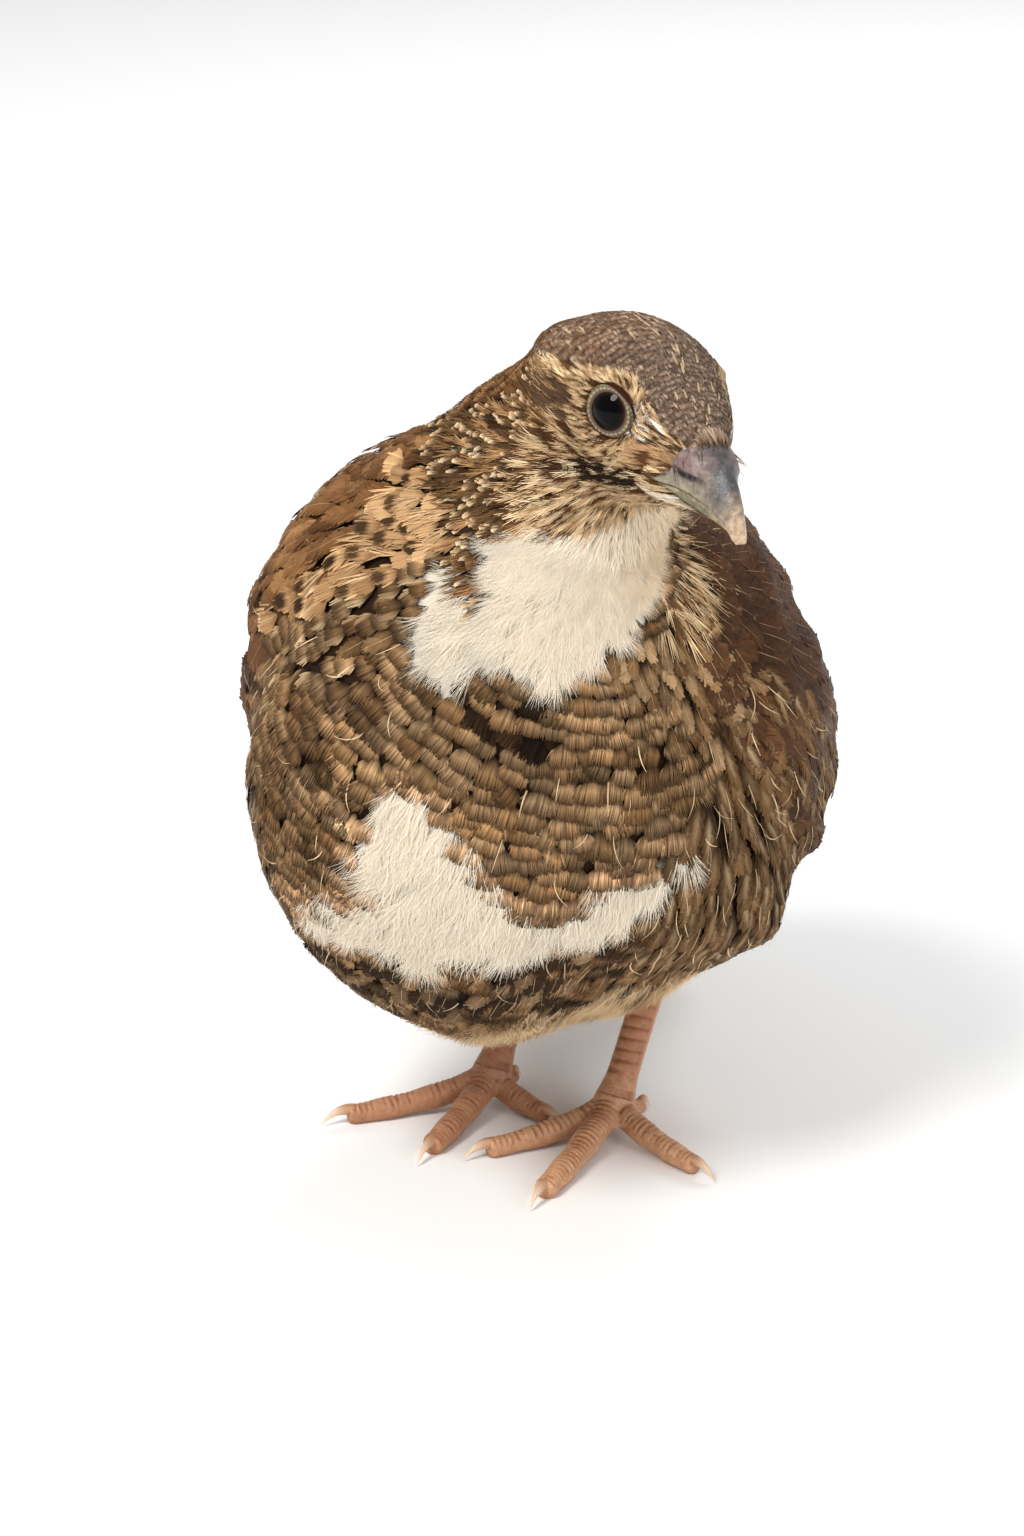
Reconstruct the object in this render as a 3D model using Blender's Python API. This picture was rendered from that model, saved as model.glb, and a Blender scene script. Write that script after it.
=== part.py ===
"""Coturnix quail standing with its head turned to its left, at life size.

The bird faces -Y and its left side is +X. The floor is z = 0. Sizes are in metres.
The torso, neck and head are modelled whole and parted by thin cuts. Every other node grows from
one of them, or from the node before it, and is cut back to leave the gap GAP at the meeting face.
"""

import math
import random

import bmesh
import bpy
from mathutils import Matrix, Vector

MM = 0.001
GAP = 0.3 * MM
SEED = 4

# Moves the whole bird, so that the middle of its bounding box is over the origin
SHIFT = Vector((-0.7, -27.8, 0)) * MM

# Torso: an egg with its thick end at the breast
TORSO_CENTRE = Vector((0.9, 16.0, 60.8)) * MM
TORSO_PITCH = math.radians(41)
TORSO_ROLL = math.radians(3.3)
TORSO_HALF_LENGTH = 55 * MM
TORSO_HALF_WIDTH = 40.2 * MM
BACK_RISE = 41.2 * MM
BELLY_DROP = 46.2 * MM
TORSO_EGG = 0.13
TORSO_ROUNDNESS = 1.91
BELLY_FULLNESS = 0.06
TORSO_RINGS = 20
TORSO_SIDES = 28
# The hollow that a folded wing lies in: its depth, and where round the torso and along it, each as
# start and end of the rise and of the fall
WING_HOLLOW = 2.6 * MM
HOLLOW_ROUND = (6, 30, 98, 114)
HOLLOW_ALONG = (-0.97, -0.6, 0.74, 0.92)

# Neck: from inside the torso to inside the head, flared at the shoulders
NECK_BASE = Vector((1, 1, 86)) * MM
NECK_BEND = Vector((6, -9, 106)) * MM
NECK_TOP = Vector((17, -12, 120)) * MM
NECK_BASE_HALF_WIDTH = 31 * MM
NECK_BASE_HALF_DEPTH = 31 * MM
NECK_TOP_HALF_WIDTH = 10.5 * MM
NECK_TOP_HALF_DEPTH = 10.5 * MM
NECK_FLARE = 1.35
NECK_RINGS = 9
NECK_SIDES = 26

# Head: turned to the bird's left and bent down
HEAD_CENTRE = Vector((24.0, -18.8, 120.9)) * MM
HEAD_TURN = math.radians(43)
HEAD_PITCH = math.radians(13)
HEAD_ROLL = math.radians(-5.6)
HEAD_SIDES = 26
# Each row: distance along the head, half width, rise above and drop below its axis, in mm
HEAD_STATIONS = (
    (-20.5, 3.4, 1.6, 4.4),
    (-18.0, 7.4, 4.8, 8.6),
    (-12.5, 10.8, 8.2, 12.0),
    (-5.5, 11.6, 9.5, 13.4),
    (1.0, 10.9, 8.8, 13.2),
    (6.0, 8.7, 6.7, 11.8),
    (9.5, 6.5, 5.3, 10.0),
    (12.5, 4.3, 4.0, 8.6),
    (14.5, 2.6, 3.0, 6.0),
    (15.8, 1.1, 1.8, 2.0),
)

# Cuts between the torso and neck, and the neck and head: a point and the way the cut faces
NECK_CUT = (Vector((6, -10, 104)) * MM, Vector((0.30, -0.42, 0.86)))
HEAD_CUT = (Vector((13, -16, 113)) * MM, Vector((0.55, -0.28, 0.79)))

# Bill. Each row: distance along the head, half width, then the heights of the ridge of the bill,
# of its mouth line and of its lower edge, in mm
BILL_STATIONS = (
    (8.0, 5.6, 3.0, -5.8, -7.4),
    (11.0, 5.0, 3.1, -5.1, -7.1),
    (14.0, 4.1, 2.9, -4.4, -6.9),
    (17.0, 3.2, 1.3, -4.3, -6.8),
    (20.0, 2.3, -0.8, -4.7, -6.8),
    (22.5, 1.6, -2.8, -5.6, -6.9),
    (24.2, 1.1, -4.8, -6.9, -7.2),
    (24.9, 0.75, -6.0, -7.3, -7.4),
)
LOWER_BILL_END = 22.8
NOSTRIL_PLACE = (14.8, 2.5, -0.6)
NOSTRIL_HOOD = (3.1, 0.85, 1.5)

# Eyes
EYE_RADIUS = 4.3 * MM
EYE_PLACE = Vector((1.2, 6.1, 1.5)) * MM
EYE_FORWARD = math.radians(26)
EYE_OPENING = 2.75 * MM
LID_THICKNESS = 0.55 * MM

# Feathers as thin vanes. Each row: share of the length, then of the full width
VANE_THICKNESS = 0.5 * MM
VANE_STATIONS = ((0.0, 0.6), (0.4, 1.0), (0.8, 0.92), (1.0, 0.35))
# A vane's half width as a share of the spacing, and how far its one edge stands over its other
VANE_HALF_WIDTH = 0.56
SHINGLE = 0.48

# Wings, as patches on the torso: shares of its length, and degrees round it from the back
WING_FRONT = 0.78
WING_REACH = 1.72
WING_ROWS = 10
WING_COLUMNS = 9
# Each row: share of the wing's length, then its upper and lower edge
WING_EDGES = (
    (0.0, 54, 80),
    (0.07, 40, 97),
    (0.25, 28, 103),
    (0.55, 21, 103),
    (0.8, 17, 82),
    (1.0, 13, 46),
)
# Each row: share of the wing's length, then how far the arm stands out from the torso, in mm
ARM_HEIGHTS = (
    (0.0, 0.9),
    (0.05, 2.0),
    (0.15, 2.5),
    (0.3, 2.4),
    (0.45, 1.9),
    (0.6, 1.4),
)
ARM_END = 0.6
# Each tier of feathers: how many, where along the wing they root and where the first and last end,
# from where to where across the wing, and their heights at the root, middle and tip, in mm
WING_TIERS = (
    ("primary", 4, 0.50, (0.935, 0.965), (0.94, 0.56), (1.1, 1.3, 1.3)),
    ("secondary", 6, 0.33, (0.79, 0.88), (0.84, 0.08), (1.1, 2.5, 2.5)),
    ("greater_covert", 6, 0.18, (0.54, 0.57), (0.91, 0.09), (1.1, 2.5, 3.6)),
    ("median_covert", 5, 0.05, (0.34, 0.37), (0.87, 0.13), (1.1, 3.3, 3.7)),
)

# Tail
TAIL_ROOT = Vector((0.8, 50, 44)) * MM
TAIL_DROOP = math.radians(36)
RUMP_LENGTH = 30 * MM
RUMP_HALF_WIDTH = (14 * MM, 9 * MM)
RUMP_HALF_DEPTH = (12 * MM, 2.2 * MM)
RUMP_RISE = 4.6 * MM
# Each tier: how many, where it roots and ends along the tail, how far it spreads at both places,
# and its heights at the root, middle and tip, all in mm
TAIL_TIERS = (
    ("rectrix", 8, (21, 49), (6.5, 10.0), (4.4, 4.4, 3.8)),
    ("upper_covert", 5, (10, 40), (7.0, 8.5), (5.2, 8.6, 6.4)),
    ("under_covert", 4, (12, 39), (6.0, 7.5), (-1.0, -0.9, 2.0)),
)
TAIL_ROOF = 0.03

# Legs and feet. Each foot: its ball and the claw tips of its toes, on the floor
LEG_LEAN = {"right": Vector((0.20, 0.42, 0.88)), "left": Vector((0.20, 0.42, 0.88))}
TARSUS_LENGTH = 27 * MM
TARSUS_RADIUS = 1.75 * MM
BALL_HEIGHT = 4.6 * MM
TOE_HEIGHT = 1.3 * MM
TOE_DROP = 2.7
FEET = {
    "left": {
        "ball": (11.4, 15.7),
        "toe_inner": (-7.4, 0.3),
        "toe_middle": (6.0, -13.5),
        "toe_outer": (29.6, 1.9),
        "toe_hind": (15.0, 25.5),
    },
    "right": {
        "ball": (-8.7, 21.3),
        "toe_inner": (4.6, 14.6),
        "toe_middle": (-13.5, -3.0),
        "toe_outer": (-30.9, 7.0),
        "toe_hind": (-6.5, 31.5),
    },
}
CLAW_LENGTH = {"toe_inner": 4.6 * MM, "toe_middle": 5.4 * MM, "toe_outer": 4.8 * MM, "toe_hind": 2.8 * MM}
TOE_RADIUS = {"toe_inner": 1.75 * MM, "toe_middle": 1.95 * MM, "toe_outer": 1.75 * MM, "toe_hind": 1.3 * MM}

COLOURS = {
    "plumage": ((0.28, 0.19, 0.11), 0.85),
    "wing": ((0.17, 0.10, 0.06), 0.8),
    "bill": ((0.22, 0.20, 0.19), 0.4),
    "eye": ((0.01, 0.008, 0.008), 0.05),
    "leg": ((0.62, 0.36, 0.27), 0.5),
    "claw": ((0.60, 0.45, 0.32), 0.4),
}


def make_material(name):
    colour, roughness = COLOURS[name]
    material = bpy.data.materials.new(name)
    material.use_nodes = True
    shader = material.node_tree.nodes["Principled BSDF"]
    shader.inputs["Base Color"].default_value = (*colour, 1)
    shader.inputs["Roughness"].default_value = roughness
    return material


def make_object(name, mesh):
    obj = bpy.data.objects.new(name, mesh)
    bpy.context.scene.collection.objects.link(obj)
    return obj


def smooth_between(rows, x):
    """The columns of rows at x, through each row with slopes from its neighbours."""
    xs = [row[0] for row in rows]
    i = max(0, min(len(rows) - 2, sum(x >= value for value in xs) - 1))
    span = xs[i + 1] - xs[i]
    s = (x - xs[i]) / span

    def slope(k, column):
        low, high = max(k - 1, 0), min(k + 1, len(rows) - 1)
        return (rows[high][column] - rows[low][column]) / (xs[high] - xs[low]) * span

    values = []
    for column in range(1, len(rows[0])):
        a, b = rows[i][column], rows[i + 1][column]
        m0, m1 = slope(i, column), slope(i + 1, column)
        values.append(
            (2 * s**3 - 3 * s**2 + 1) * a
            + (s**3 - 2 * s**2 + s) * m0
            + (3 * s**2 - 2 * s**3) * b
            + (s**3 - s**2) * m1
        )
    return values


def smooth_step(x):
    x = max(0.0, min(1.0, x))
    return x * x * (3 - 2 * x)


def window(x, edges):
    """1 between the middle two edges, falling to 0 at the outer two."""
    rise = smooth_step((x - edges[0]) / (edges[1] - edges[0]))
    return rise * smooth_step((edges[3] - x) / (edges[3] - edges[2]))


def ring_solid(name, rings, start, end):
    """A closed mesh through equal rings of points, closed by a fan to a point at each end."""
    bm = bmesh.new()
    loops = [[bm.verts.new(point) for point in ring] for ring in rings]
    first, last = bm.verts.new(start), bm.verts.new(end)
    for near, far in zip(loops, loops[1:]):
        for i in range(len(near)):
            j = (i + 1) % len(near)
            bm.faces.new((near[i], near[j], far[j], far[i]))
    for i in range(len(loops[0])):
        j = (i + 1) % len(loops[0])
        bm.faces.new((loops[0][j], loops[0][i], first))
        bm.faces.new((loops[-1][i], loops[-1][j], last))
    bmesh.ops.recalc_face_normals(bm, faces=bm.faces)
    mesh = bpy.data.meshes.new(name)
    bm.to_mesh(mesh)
    bm.free()
    return make_object(name, mesh)


def bake_modifiers(obj):
    """Replaces the object's mesh by what its modifiers make of it."""
    graph = bpy.context.evaluated_depsgraph_get()
    mesh = bpy.data.meshes.new_from_object(obj.evaluated_get(graph))
    obj.modifiers.clear()
    obj.data = mesh


def keep_largest(obj):
    """Leaves only the largest closed surface of the object's mesh."""
    bm = bmesh.new()
    bm.from_mesh(obj.data)
    left = set(bm.faces)
    shells = []
    while left:
        shell, todo = set(), [left.pop()]
        while todo:
            face = todo.pop()
            shell.add(face)
            for edge in face.edges:
                for other in edge.link_faces:
                    if other in left:
                        left.remove(other)
                        todo.append(other)
        shells.append(shell)

    def size(shell):
        total = 0.0
        for face in shell:
            corners = [v.co for v in face.verts]
            for b, c in zip(corners[1:], corners[2:]):
                total += corners[0].dot(b.cross(c)) / 6
        return abs(total)

    largest = max(shells, key=size)
    bmesh.ops.delete(bm, geom=[f for f in bm.faces if f not in largest], context="FACES")
    bmesh.ops.triangulate(bm, faces=bm.faces)
    bm.to_mesh(obj.data)
    bm.free()


def combine(obj, others, operation, solver="MANIFOLD"):
    """One Boolean of the object with a collection of closed meshes, which are then removed."""
    group = bpy.data.collections.new(obj.name + "_pieces")
    for other in others:
        group.objects.link(other)
    modifier = obj.modifiers.new(operation.lower(), "BOOLEAN")
    modifier.operand_type = "COLLECTION"
    modifier.collection = group
    modifier.operation = operation
    modifier.solver = solver
    bake_modifiers(obj)
    for other in others:
        bpy.data.objects.remove(other)
    bpy.data.collections.remove(group)
    keep_largest(obj)
    return obj


def inflated(obj, amount):
    """A copy of the object with each point moved out along its normal."""
    copy = make_object(obj.name + "_cutter", obj.data.copy())
    normals = [v.normal.copy() for v in copy.data.vertices]
    for vertex, normal in zip(copy.data.vertices, normals):
        vertex.co += normal * amount
    return copy


def cut_by(obj, *neighbours, gap=1.2 * GAP):
    return combine(obj, [inflated(n, gap) for n in neighbours], "DIFFERENCE")


def half_space(point, normal, side):
    """A large block on one side of a plane and half the gap over it."""
    size = 0.4
    bm = bmesh.new()
    bmesh.ops.create_cube(bm, size=size)
    turn = normal.normalized().to_track_quat("Z", "Y").to_matrix().to_4x4()
    centre = point + normal.normalized() * side * (size - GAP) / 2
    bmesh.ops.transform(bm, matrix=Matrix.Translation(centre) @ turn, verts=bm.verts)
    mesh = bpy.data.meshes.new("half_space")
    bm.to_mesh(mesh)
    bm.free()
    return make_object("half_space", mesh)


def finish(obj, material, smooth_angle=50):
    obj.data.materials.clear()
    obj.data.materials.append(material)
    obj.data.shade_smooth()
    obj.data.set_sharp_from_angle(angle=math.radians(smooth_angle))
    return obj


# Torso

FORWARD = Vector((0, -math.cos(TORSO_PITCH), math.sin(TORSO_PITCH)))
ROLLED = Matrix.Rotation(TORSO_ROLL, 3, "Y")
DORSAL = ROLLED @ Vector((0, math.sin(TORSO_PITCH), math.cos(TORSO_PITCH)))
LEFT = ROLLED @ Vector((1, 0, 0))


def torso_point(t, angle):
    """A point of the torso: t from -1 at the rump to 1 at the breast, angle from the back to the left side."""
    girth = math.sqrt(max(0.0, 1 - abs(t) ** TORSO_ROUNDNESS)) * (1 + TORSO_EGG * t)
    height = BACK_RISE
    if math.cos(angle) < 0:
        height = BELLY_DROP
        girth *= 1 + BELLY_FULLNESS * math.sin(2 * angle) ** 2
    degrees = math.degrees(math.acos(max(-1.0, min(1.0, math.cos(angle)))))
    girth -= girth * window(degrees, HOLLOW_ROUND) * window(t, HOLLOW_ALONG) * WING_HOLLOW / TORSO_HALF_WIDTH
    return (
        TORSO_CENTRE
        + FORWARD * TORSO_HALF_LENGTH * t
        + DORSAL * height * girth * math.cos(angle)
        + LEFT * TORSO_HALF_WIDTH * girth * math.sin(angle)
    )


def torso_normal(t, angle):
    step = 1e-3
    along = torso_point(min(t + step, 0.999), angle) - torso_point(max(t - step, -0.999), angle)
    around = torso_point(t, angle + step) - torso_point(t, angle - step)
    return along.cross(around).normalized()


def make_torso():
    rings = []
    for i in range(1, TORSO_RINGS):
        t = -math.cos(math.pi * i / TORSO_RINGS)
        rings.append([torso_point(t, 2 * math.pi * k / TORSO_SIDES) for k in range(TORSO_SIDES)])
    return ring_solid("torso", rings, torso_point(-1, 0), torso_point(1, 0))


# Neck


def neck_line(s):
    return NECK_BASE.lerp(NECK_BEND, s).lerp(NECK_BEND.lerp(NECK_TOP, s), s)


def make_neck():
    rings = []
    for i in range(NECK_RINGS):
        s = i / (NECK_RINGS - 1)
        along = (NECK_BEND - NECK_BASE).lerp(NECK_TOP - NECK_BEND, s).normalized()
        side = (LEFT - along * along.dot(LEFT)).normalized()
        back = side.cross(along)
        flare = (1 - s) ** NECK_FLARE
        width = NECK_TOP_HALF_WIDTH + (NECK_BASE_HALF_WIDTH - NECK_TOP_HALF_WIDTH) * flare
        depth = NECK_TOP_HALF_DEPTH + (NECK_BASE_HALF_DEPTH - NECK_TOP_HALF_DEPTH) * flare
        centre = neck_line(s)
        rings.append(
            [
                centre + side * width * math.sin(a) + back * depth * math.cos(a)
                for a in (2 * math.pi * k / NECK_SIDES for k in range(NECK_SIDES))
            ]
        )
    return ring_solid("neck", rings, NECK_BASE, NECK_TOP)


# Head

HEAD_FORWARD = Vector(
    (
        math.sin(HEAD_TURN) * math.cos(HEAD_PITCH),
        -math.cos(HEAD_TURN) * math.cos(HEAD_PITCH),
        -math.sin(HEAD_PITCH),
    )
)
HEAD_LEFT = Vector((math.cos(HEAD_TURN), math.sin(HEAD_TURN), 0))
HEAD_UP = HEAD_FORWARD.cross(HEAD_LEFT)
HEAD_FRAME = Matrix((HEAD_FORWARD, HEAD_LEFT, HEAD_UP)).transposed() @ Matrix.Rotation(HEAD_ROLL, 3, "X")


def head_point(forward, left, up):
    return HEAD_CENTRE + HEAD_FRAME @ Vector((forward, left, up))


def make_head():
    rings = []
    first, last = HEAD_STATIONS[0][0], HEAD_STATIONS[-1][0]
    count = 16
    for i in range(count + 1):
        x = first + (last - first) * (1 - math.cos(math.pi * i / count)) / 2
        width, rise, drop = smooth_between(HEAD_STATIONS, x)
        ring = []
        for k in range(HEAD_SIDES):
            a = 2 * math.pi * k / HEAD_SIDES
            height = rise if math.cos(a) > 0 else drop
            ring.append(head_point(x * MM, width * math.sin(a) * MM, height * math.cos(a) * MM))
        rings.append(ring)
    start, end = (HEAD_STATIONS[0][0] - 0.7) * MM, (HEAD_STATIONS[-1][0] + 0.5) * MM
    return ring_solid("head", rings, head_point(start, 0, 0), head_point(end, 0, -0.4 * MM))


def part_body():
    """The torso, neck and head as one body, parted by two thin cuts."""
    whole = combine(make_torso(), [make_neck(), make_head()], "UNION")
    neck = make_object("neck", whole.data.copy())
    head = make_object("head", whole.data.copy())
    combine(whole, [half_space(*NECK_CUT, 1)], "DIFFERENCE")
    combine(neck, [half_space(*NECK_CUT, -1), half_space(*HEAD_CUT, 1)], "DIFFERENCE")
    combine(head, [half_space(*HEAD_CUT, -1)], "DIFFERENCE")
    return whole, neck, head


# Eyes and lids


def eye_axes(side):
    """The place of an eye and the way it looks, in the body's frame."""
    place = Vector((EYE_PLACE.x, EYE_PLACE.y * side, EYE_PLACE.z))
    look = Vector((math.sin(EYE_FORWARD), math.cos(EYE_FORWARD) * side, 0.06))
    return head_point(*place), (HEAD_FRAME @ look).normalized()


def ball(name, centre, radius, look, rings=10, sides=16, stretch=1.0):
    """A sphere with its poles along look."""
    turn = look.to_track_quat("Z", "Y").to_matrix()
    circles = []
    for i in range(1, rings):
        a = math.pi * i / rings
        circles.append(
            [
                centre
                + turn
                @ Vector(
                    (
                        radius * math.sin(a) * math.cos(2 * math.pi * k / sides) * stretch,
                        radius * math.sin(a) * math.sin(2 * math.pi * k / sides),
                        -radius * math.cos(a),
                    )
                )
                for k in range(sides)
            ]
        )
    return ring_solid(name, circles, centre - look * radius, centre + look * radius)


def rod(name, start, end, radius_start, radius_end, sides=16):
    along = (end - start).normalized()
    turn = along.to_track_quat("Z", "Y").to_matrix()
    rings = [
        [
            centre + turn @ Vector((r * math.cos(2 * math.pi * k / sides), r * math.sin(2 * math.pi * k / sides), 0))
            for k in range(sides)
        ]
        for centre, r in ((start, radius_start), (end, radius_end))
    ]
    return ring_solid(name, rings, start, end)


def make_eyes(head):
    """Raises the lids on the head, opens them, and returns the two eyeballs."""
    lids, openings, eyes = [], [], []
    for name, side in (("eye_left", 1), ("eye_right", -1)):
        centre, look = eye_axes(side)
        lids.append(ball("lid", centre, EYE_RADIUS + GAP + LID_THICKNESS, look, rings=11, sides=18))
        openings.append(ball("socket", centre, EYE_RADIUS + GAP, look, rings=11, sides=18))
        openings.append(
            rod("opening", centre, centre + look * 3 * EYE_RADIUS, EYE_OPENING, EYE_OPENING * 1.15, sides=20)
        )
        eyes.append(ball(name, centre, EYE_RADIUS, look, rings=10, sides=16))
    combine(head, lids, "UNION")
    combine(head, openings, "DIFFERENCE")
    return eyes


# Bill


def make_upper_bill(head):
    """The hooked upper half, with a hood over each nostril and the slit under it."""
    rings, count, sides = [], 11, 16
    first, last = BILL_STATIONS[0][0], BILL_STATIONS[-1][0]
    for i in range(count):
        x = first + (last - first) * (i / (count - 1)) ** 0.8
        width, ridge, mouth, _ = smooth_between(BILL_STATIONS, x)
        ring = []
        for k in range(sides):
            a = 2 * math.pi * k / sides
            across = math.copysign(abs(math.cos(a)) ** 1.25, math.cos(a)) if math.sin(a) > 0 else math.cos(a)
            rise = (ridge - mouth) * max(0, math.sin(a)) ** 1.25
            ring.append(head_point(x * MM, width * across * MM, (mouth + rise) * MM + GAP / 2))
        rings.append(ring)
    middles = []
    for x in (first, last):
        _, ridge, mouth, _ = smooth_between(BILL_STATIONS, x)
        middles.append(head_point(x * MM, 0, (ridge + mouth) / 2 * MM))
    bill = ring_solid("bill_upper", rings, *middles)
    hoods, slits = [], []
    forward, across, up = NOSTRIL_PLACE
    for side in (1, -1):
        place = head_point(forward * MM, across * side * MM, up * MM)
        hood = ball("hood", Vector((0, 0, 0)), 1 * MM, Vector((1, 0, 0)), rings=7, sides=10)
        hood.data.transform(
            Matrix.Translation(place) @ (HEAD_FRAME @ Matrix.Diagonal(NOSTRIL_HOOD)).to_4x4()
        )
        hoods.append(hood)
        slits.append(
            rod(
                "slit",
                head_point((forward - 1.4) * MM, (across + 0.75) * side * MM, (up - 1.35) * MM),
                head_point((forward + 3.2) * MM, (across + 0.2) * side * MM, (up - 1.5) * MM),
                0.42 * MM,
                0.36 * MM,
                sides=8,
            )
        )
    combine(bill, hoods, "UNION")
    combine(bill, slits, "DIFFERENCE")
    return cut_by(bill, head)


def make_lower_bill(head):
    rings, count, sides = [], 11, 14
    first = BILL_STATIONS[0][0]
    for i in range(count):
        x = first + (LOWER_BILL_END - first) * (i / (count - 1)) ** 0.8
        width, _, mouth, lower = smooth_between(BILL_STATIONS, x)
        taper = (1 - (i / count) ** 4) ** 0.5
        ring = []
        for k in range(sides):
            a = 2 * math.pi * k / sides
            drop = (mouth - lower) * max(0, math.sin(a)) ** 0.9
            ring.append(
                head_point(x * MM, (width * taper - 0.2) * math.cos(a) * MM, (mouth - drop) * MM - GAP / 2)
            )
        rings.append(ring)
    middles = []
    for x in (first, LOWER_BILL_END):
        _, _, mouth, lower = smooth_between(BILL_STATIONS, x)
        middles.append(head_point(x * MM, 0, (mouth + lower) / 2 * MM - GAP / 2))
    return cut_by(ring_solid("bill_lower", rings, *middles), head)


# Feathers


def vane(name, place):
    """A thin closed leaf, split into triangles alike on both faces.

    place(s, x) gives a point of its middle surface and the way its upper side faces, for s from its
    root (0) to its tip (1) and x from one edge (-1) to the other (1).
    """
    bm = bmesh.new()
    rows = []
    for s, width in VANE_STATIONS:
        row = []
        for x in (-1, 0, 1):
            point, normal = place(s, x * width)
            half = normal * VANE_THICKNESS / 2
            row.append((bm.verts.new(point + half), bm.verts.new(point - half)))
        rows.append(row)
    for near, far in zip(rows, rows[1:]):
        for i in range(2):
            for side in range(2):
                a, b, c, d = near[i][side], near[i + 1][side], far[i + 1][side], far[i][side]
                bm.faces.new((a, b, c))
                bm.faces.new((a, c, d))
        for i in (0, 2):
            bm.faces.new((near[i][0], far[i][0], far[i][1], near[i][1]))
    for row in (rows[0], rows[-1]):
        for i in range(2):
            bm.faces.new((row[i][0], row[i + 1][0], row[i + 1][1], row[i][1]))
    bmesh.ops.recalc_face_normals(bm, faces=bm.faces)
    bmesh.ops.triangulate(bm, faces=[f for f in bm.faces if len(f.verts) > 3])
    mesh = bpy.data.meshes.new(name)
    bm.to_mesh(mesh)
    bm.free()
    return make_object(name, mesh)


def along_heights(heights, s):
    """Height over the surface at s along a feather, from its heights at root, middle and tip."""
    root, middle, tip = heights
    if s < 0.5:
        return root + (middle - root) * smooth_step(s / 0.5)
    return middle + (tip - middle) * (s - 0.5) / 0.5


# Wings


def wing_surface(side, u, v, lift):
    """A point over the torso: u from the wrist (0) to the tips, v from the upper edge (0) to the lower one (1)."""
    t = WING_FRONT - WING_REACH * u
    upper, lower = smooth_between(WING_EDGES, u)
    angle = side * math.radians(upper + (lower - upper) * v)
    return torso_point(t, angle) + torso_normal(t, angle) * lift


def wing_normal(side, u, v):
    return (wing_surface(side, u, v, 1 * MM) - wing_surface(side, u, v, 0)).normalized()


def make_arm(side, name):
    """The fleshy front of a folded wing, which the feathers root in."""
    rings = []
    for i in range(WING_ROWS):
        u = ARM_END * i / (WING_ROWS - 1)
        (height,) = smooth_between(ARM_HEIGHTS, u)
        ring = []
        for k in range(WING_COLUMNS):
            v = k / (WING_COLUMNS - 1)
            swell = 0.8 + (height - 0.8) * (1 - abs(2 * v - 1) ** 4) ** 0.6
            ring.append(wing_surface(side, u, v, swell * MM))
        for k in range(WING_COLUMNS - 1, -1, -1):
            v = k / (WING_COLUMNS - 1)
            ring.append(wing_surface(side, u, v, -0.8 * MM))
        rings.append(ring)
    start, end = wing_surface(side, -0.006, 0.5, 0), wing_surface(side, ARM_END + 0.004, 0.5, 0)
    return ring_solid(name, rings, start, end)


def wing_feathers(side, draw):
    """The vanes of one wing's tiers. draw is the seeded random source."""
    vanes = []
    for tier, count, root, ends, across, heights in WING_TIERS:
        spacing = (across[1] - across[0]) / (count - 1)
        for k in range(count):
            share = k / (count - 1)
            middle = across[0] + (across[1] - across[0]) * share
            tip = ends[0] + (ends[1] - ends[0]) * math.sin(math.pi * share * 0.8) + draw.uniform(-0.008, 0.008)
            tip = min(tip, 0.99)

            def place(s, x, middle=middle, tip=tip):
                u = root + (tip - root) * s
                v = middle + x * abs(spacing) * VANE_HALF_WIDTH
                lift = along_heights(heights, s) + x * SHINGLE * smooth_step(0.2 + 2 * s)
                return wing_surface(side, u, v, lift * MM), wing_normal(side, u, v)

            vanes.append(vane(tier, place))
    return vanes


def make_wing(side, name, neighbours, draw):
    wing = cut_by(make_arm(side, name), *neighbours)
    combine(wing, wing_feathers(side, draw), "UNION")
    return cut_by(wing, *neighbours, gap=GAP)


# Tail

TAIL_ALONG = Vector((0, math.cos(TAIL_DROOP), -math.sin(TAIL_DROOP)))
TAIL_UP = Vector((0, math.sin(TAIL_DROOP), math.cos(TAIL_DROOP)))


def tail_point(along, across, up):
    return TAIL_ROOT + TAIL_ALONG * along + Vector((across, 0, 0)) + TAIL_UP * up


def make_rump():
    rings = []
    for i in range(7):
        s = i / 6
        width = RUMP_HALF_WIDTH[0] + (RUMP_HALF_WIDTH[1] - RUMP_HALF_WIDTH[0]) * s
        depth = RUMP_HALF_DEPTH[0] + (RUMP_HALF_DEPTH[1] - RUMP_HALF_DEPTH[0]) * s**0.9
        rings.append(
            [
                tail_point(RUMP_LENGTH * s, width * math.sin(a), RUMP_RISE * s + depth * math.cos(a))
                for a in (2 * math.pi * k / 16 for k in range(16))
            ]
        )
    return ring_solid("tail", rings, TAIL_ROOT, tail_point(RUMP_LENGTH + 1 * MM, 0, RUMP_RISE))


def tail_feathers(draw):
    vanes = []
    for tier, count, span, widths, heights in TAIL_TIERS:
        for k in range(count):
            share = 2 * k / (count - 1) - 1
            tip = span[1] - 3.5 * share**2 + draw.uniform(-0.5, 0.5)
            side = math.copysign(1, share)

            def place(s, x, share=share, tip=tip, side=side):
                along = span[0] + (tip - span[0]) * s
                spread = widths[0] + (widths[1] - widths[0]) * s
                across = spread * (share + x * side * 2 * VANE_HALF_WIDTH / (count - 1))
                drop = TAIL_ROOF * across**2
                tilt = x * SHINGLE * smooth_step(0.2 + 2 * s)
                up = along_heights(heights, s) - drop + tilt
                normal = (TAIL_UP + Vector((2 * TAIL_ROOF * across, 0, 0))).normalized()
                return tail_point(along * MM, across * MM, up * MM), normal

            vanes.append(vane(tier, place))
    return vanes


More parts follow.
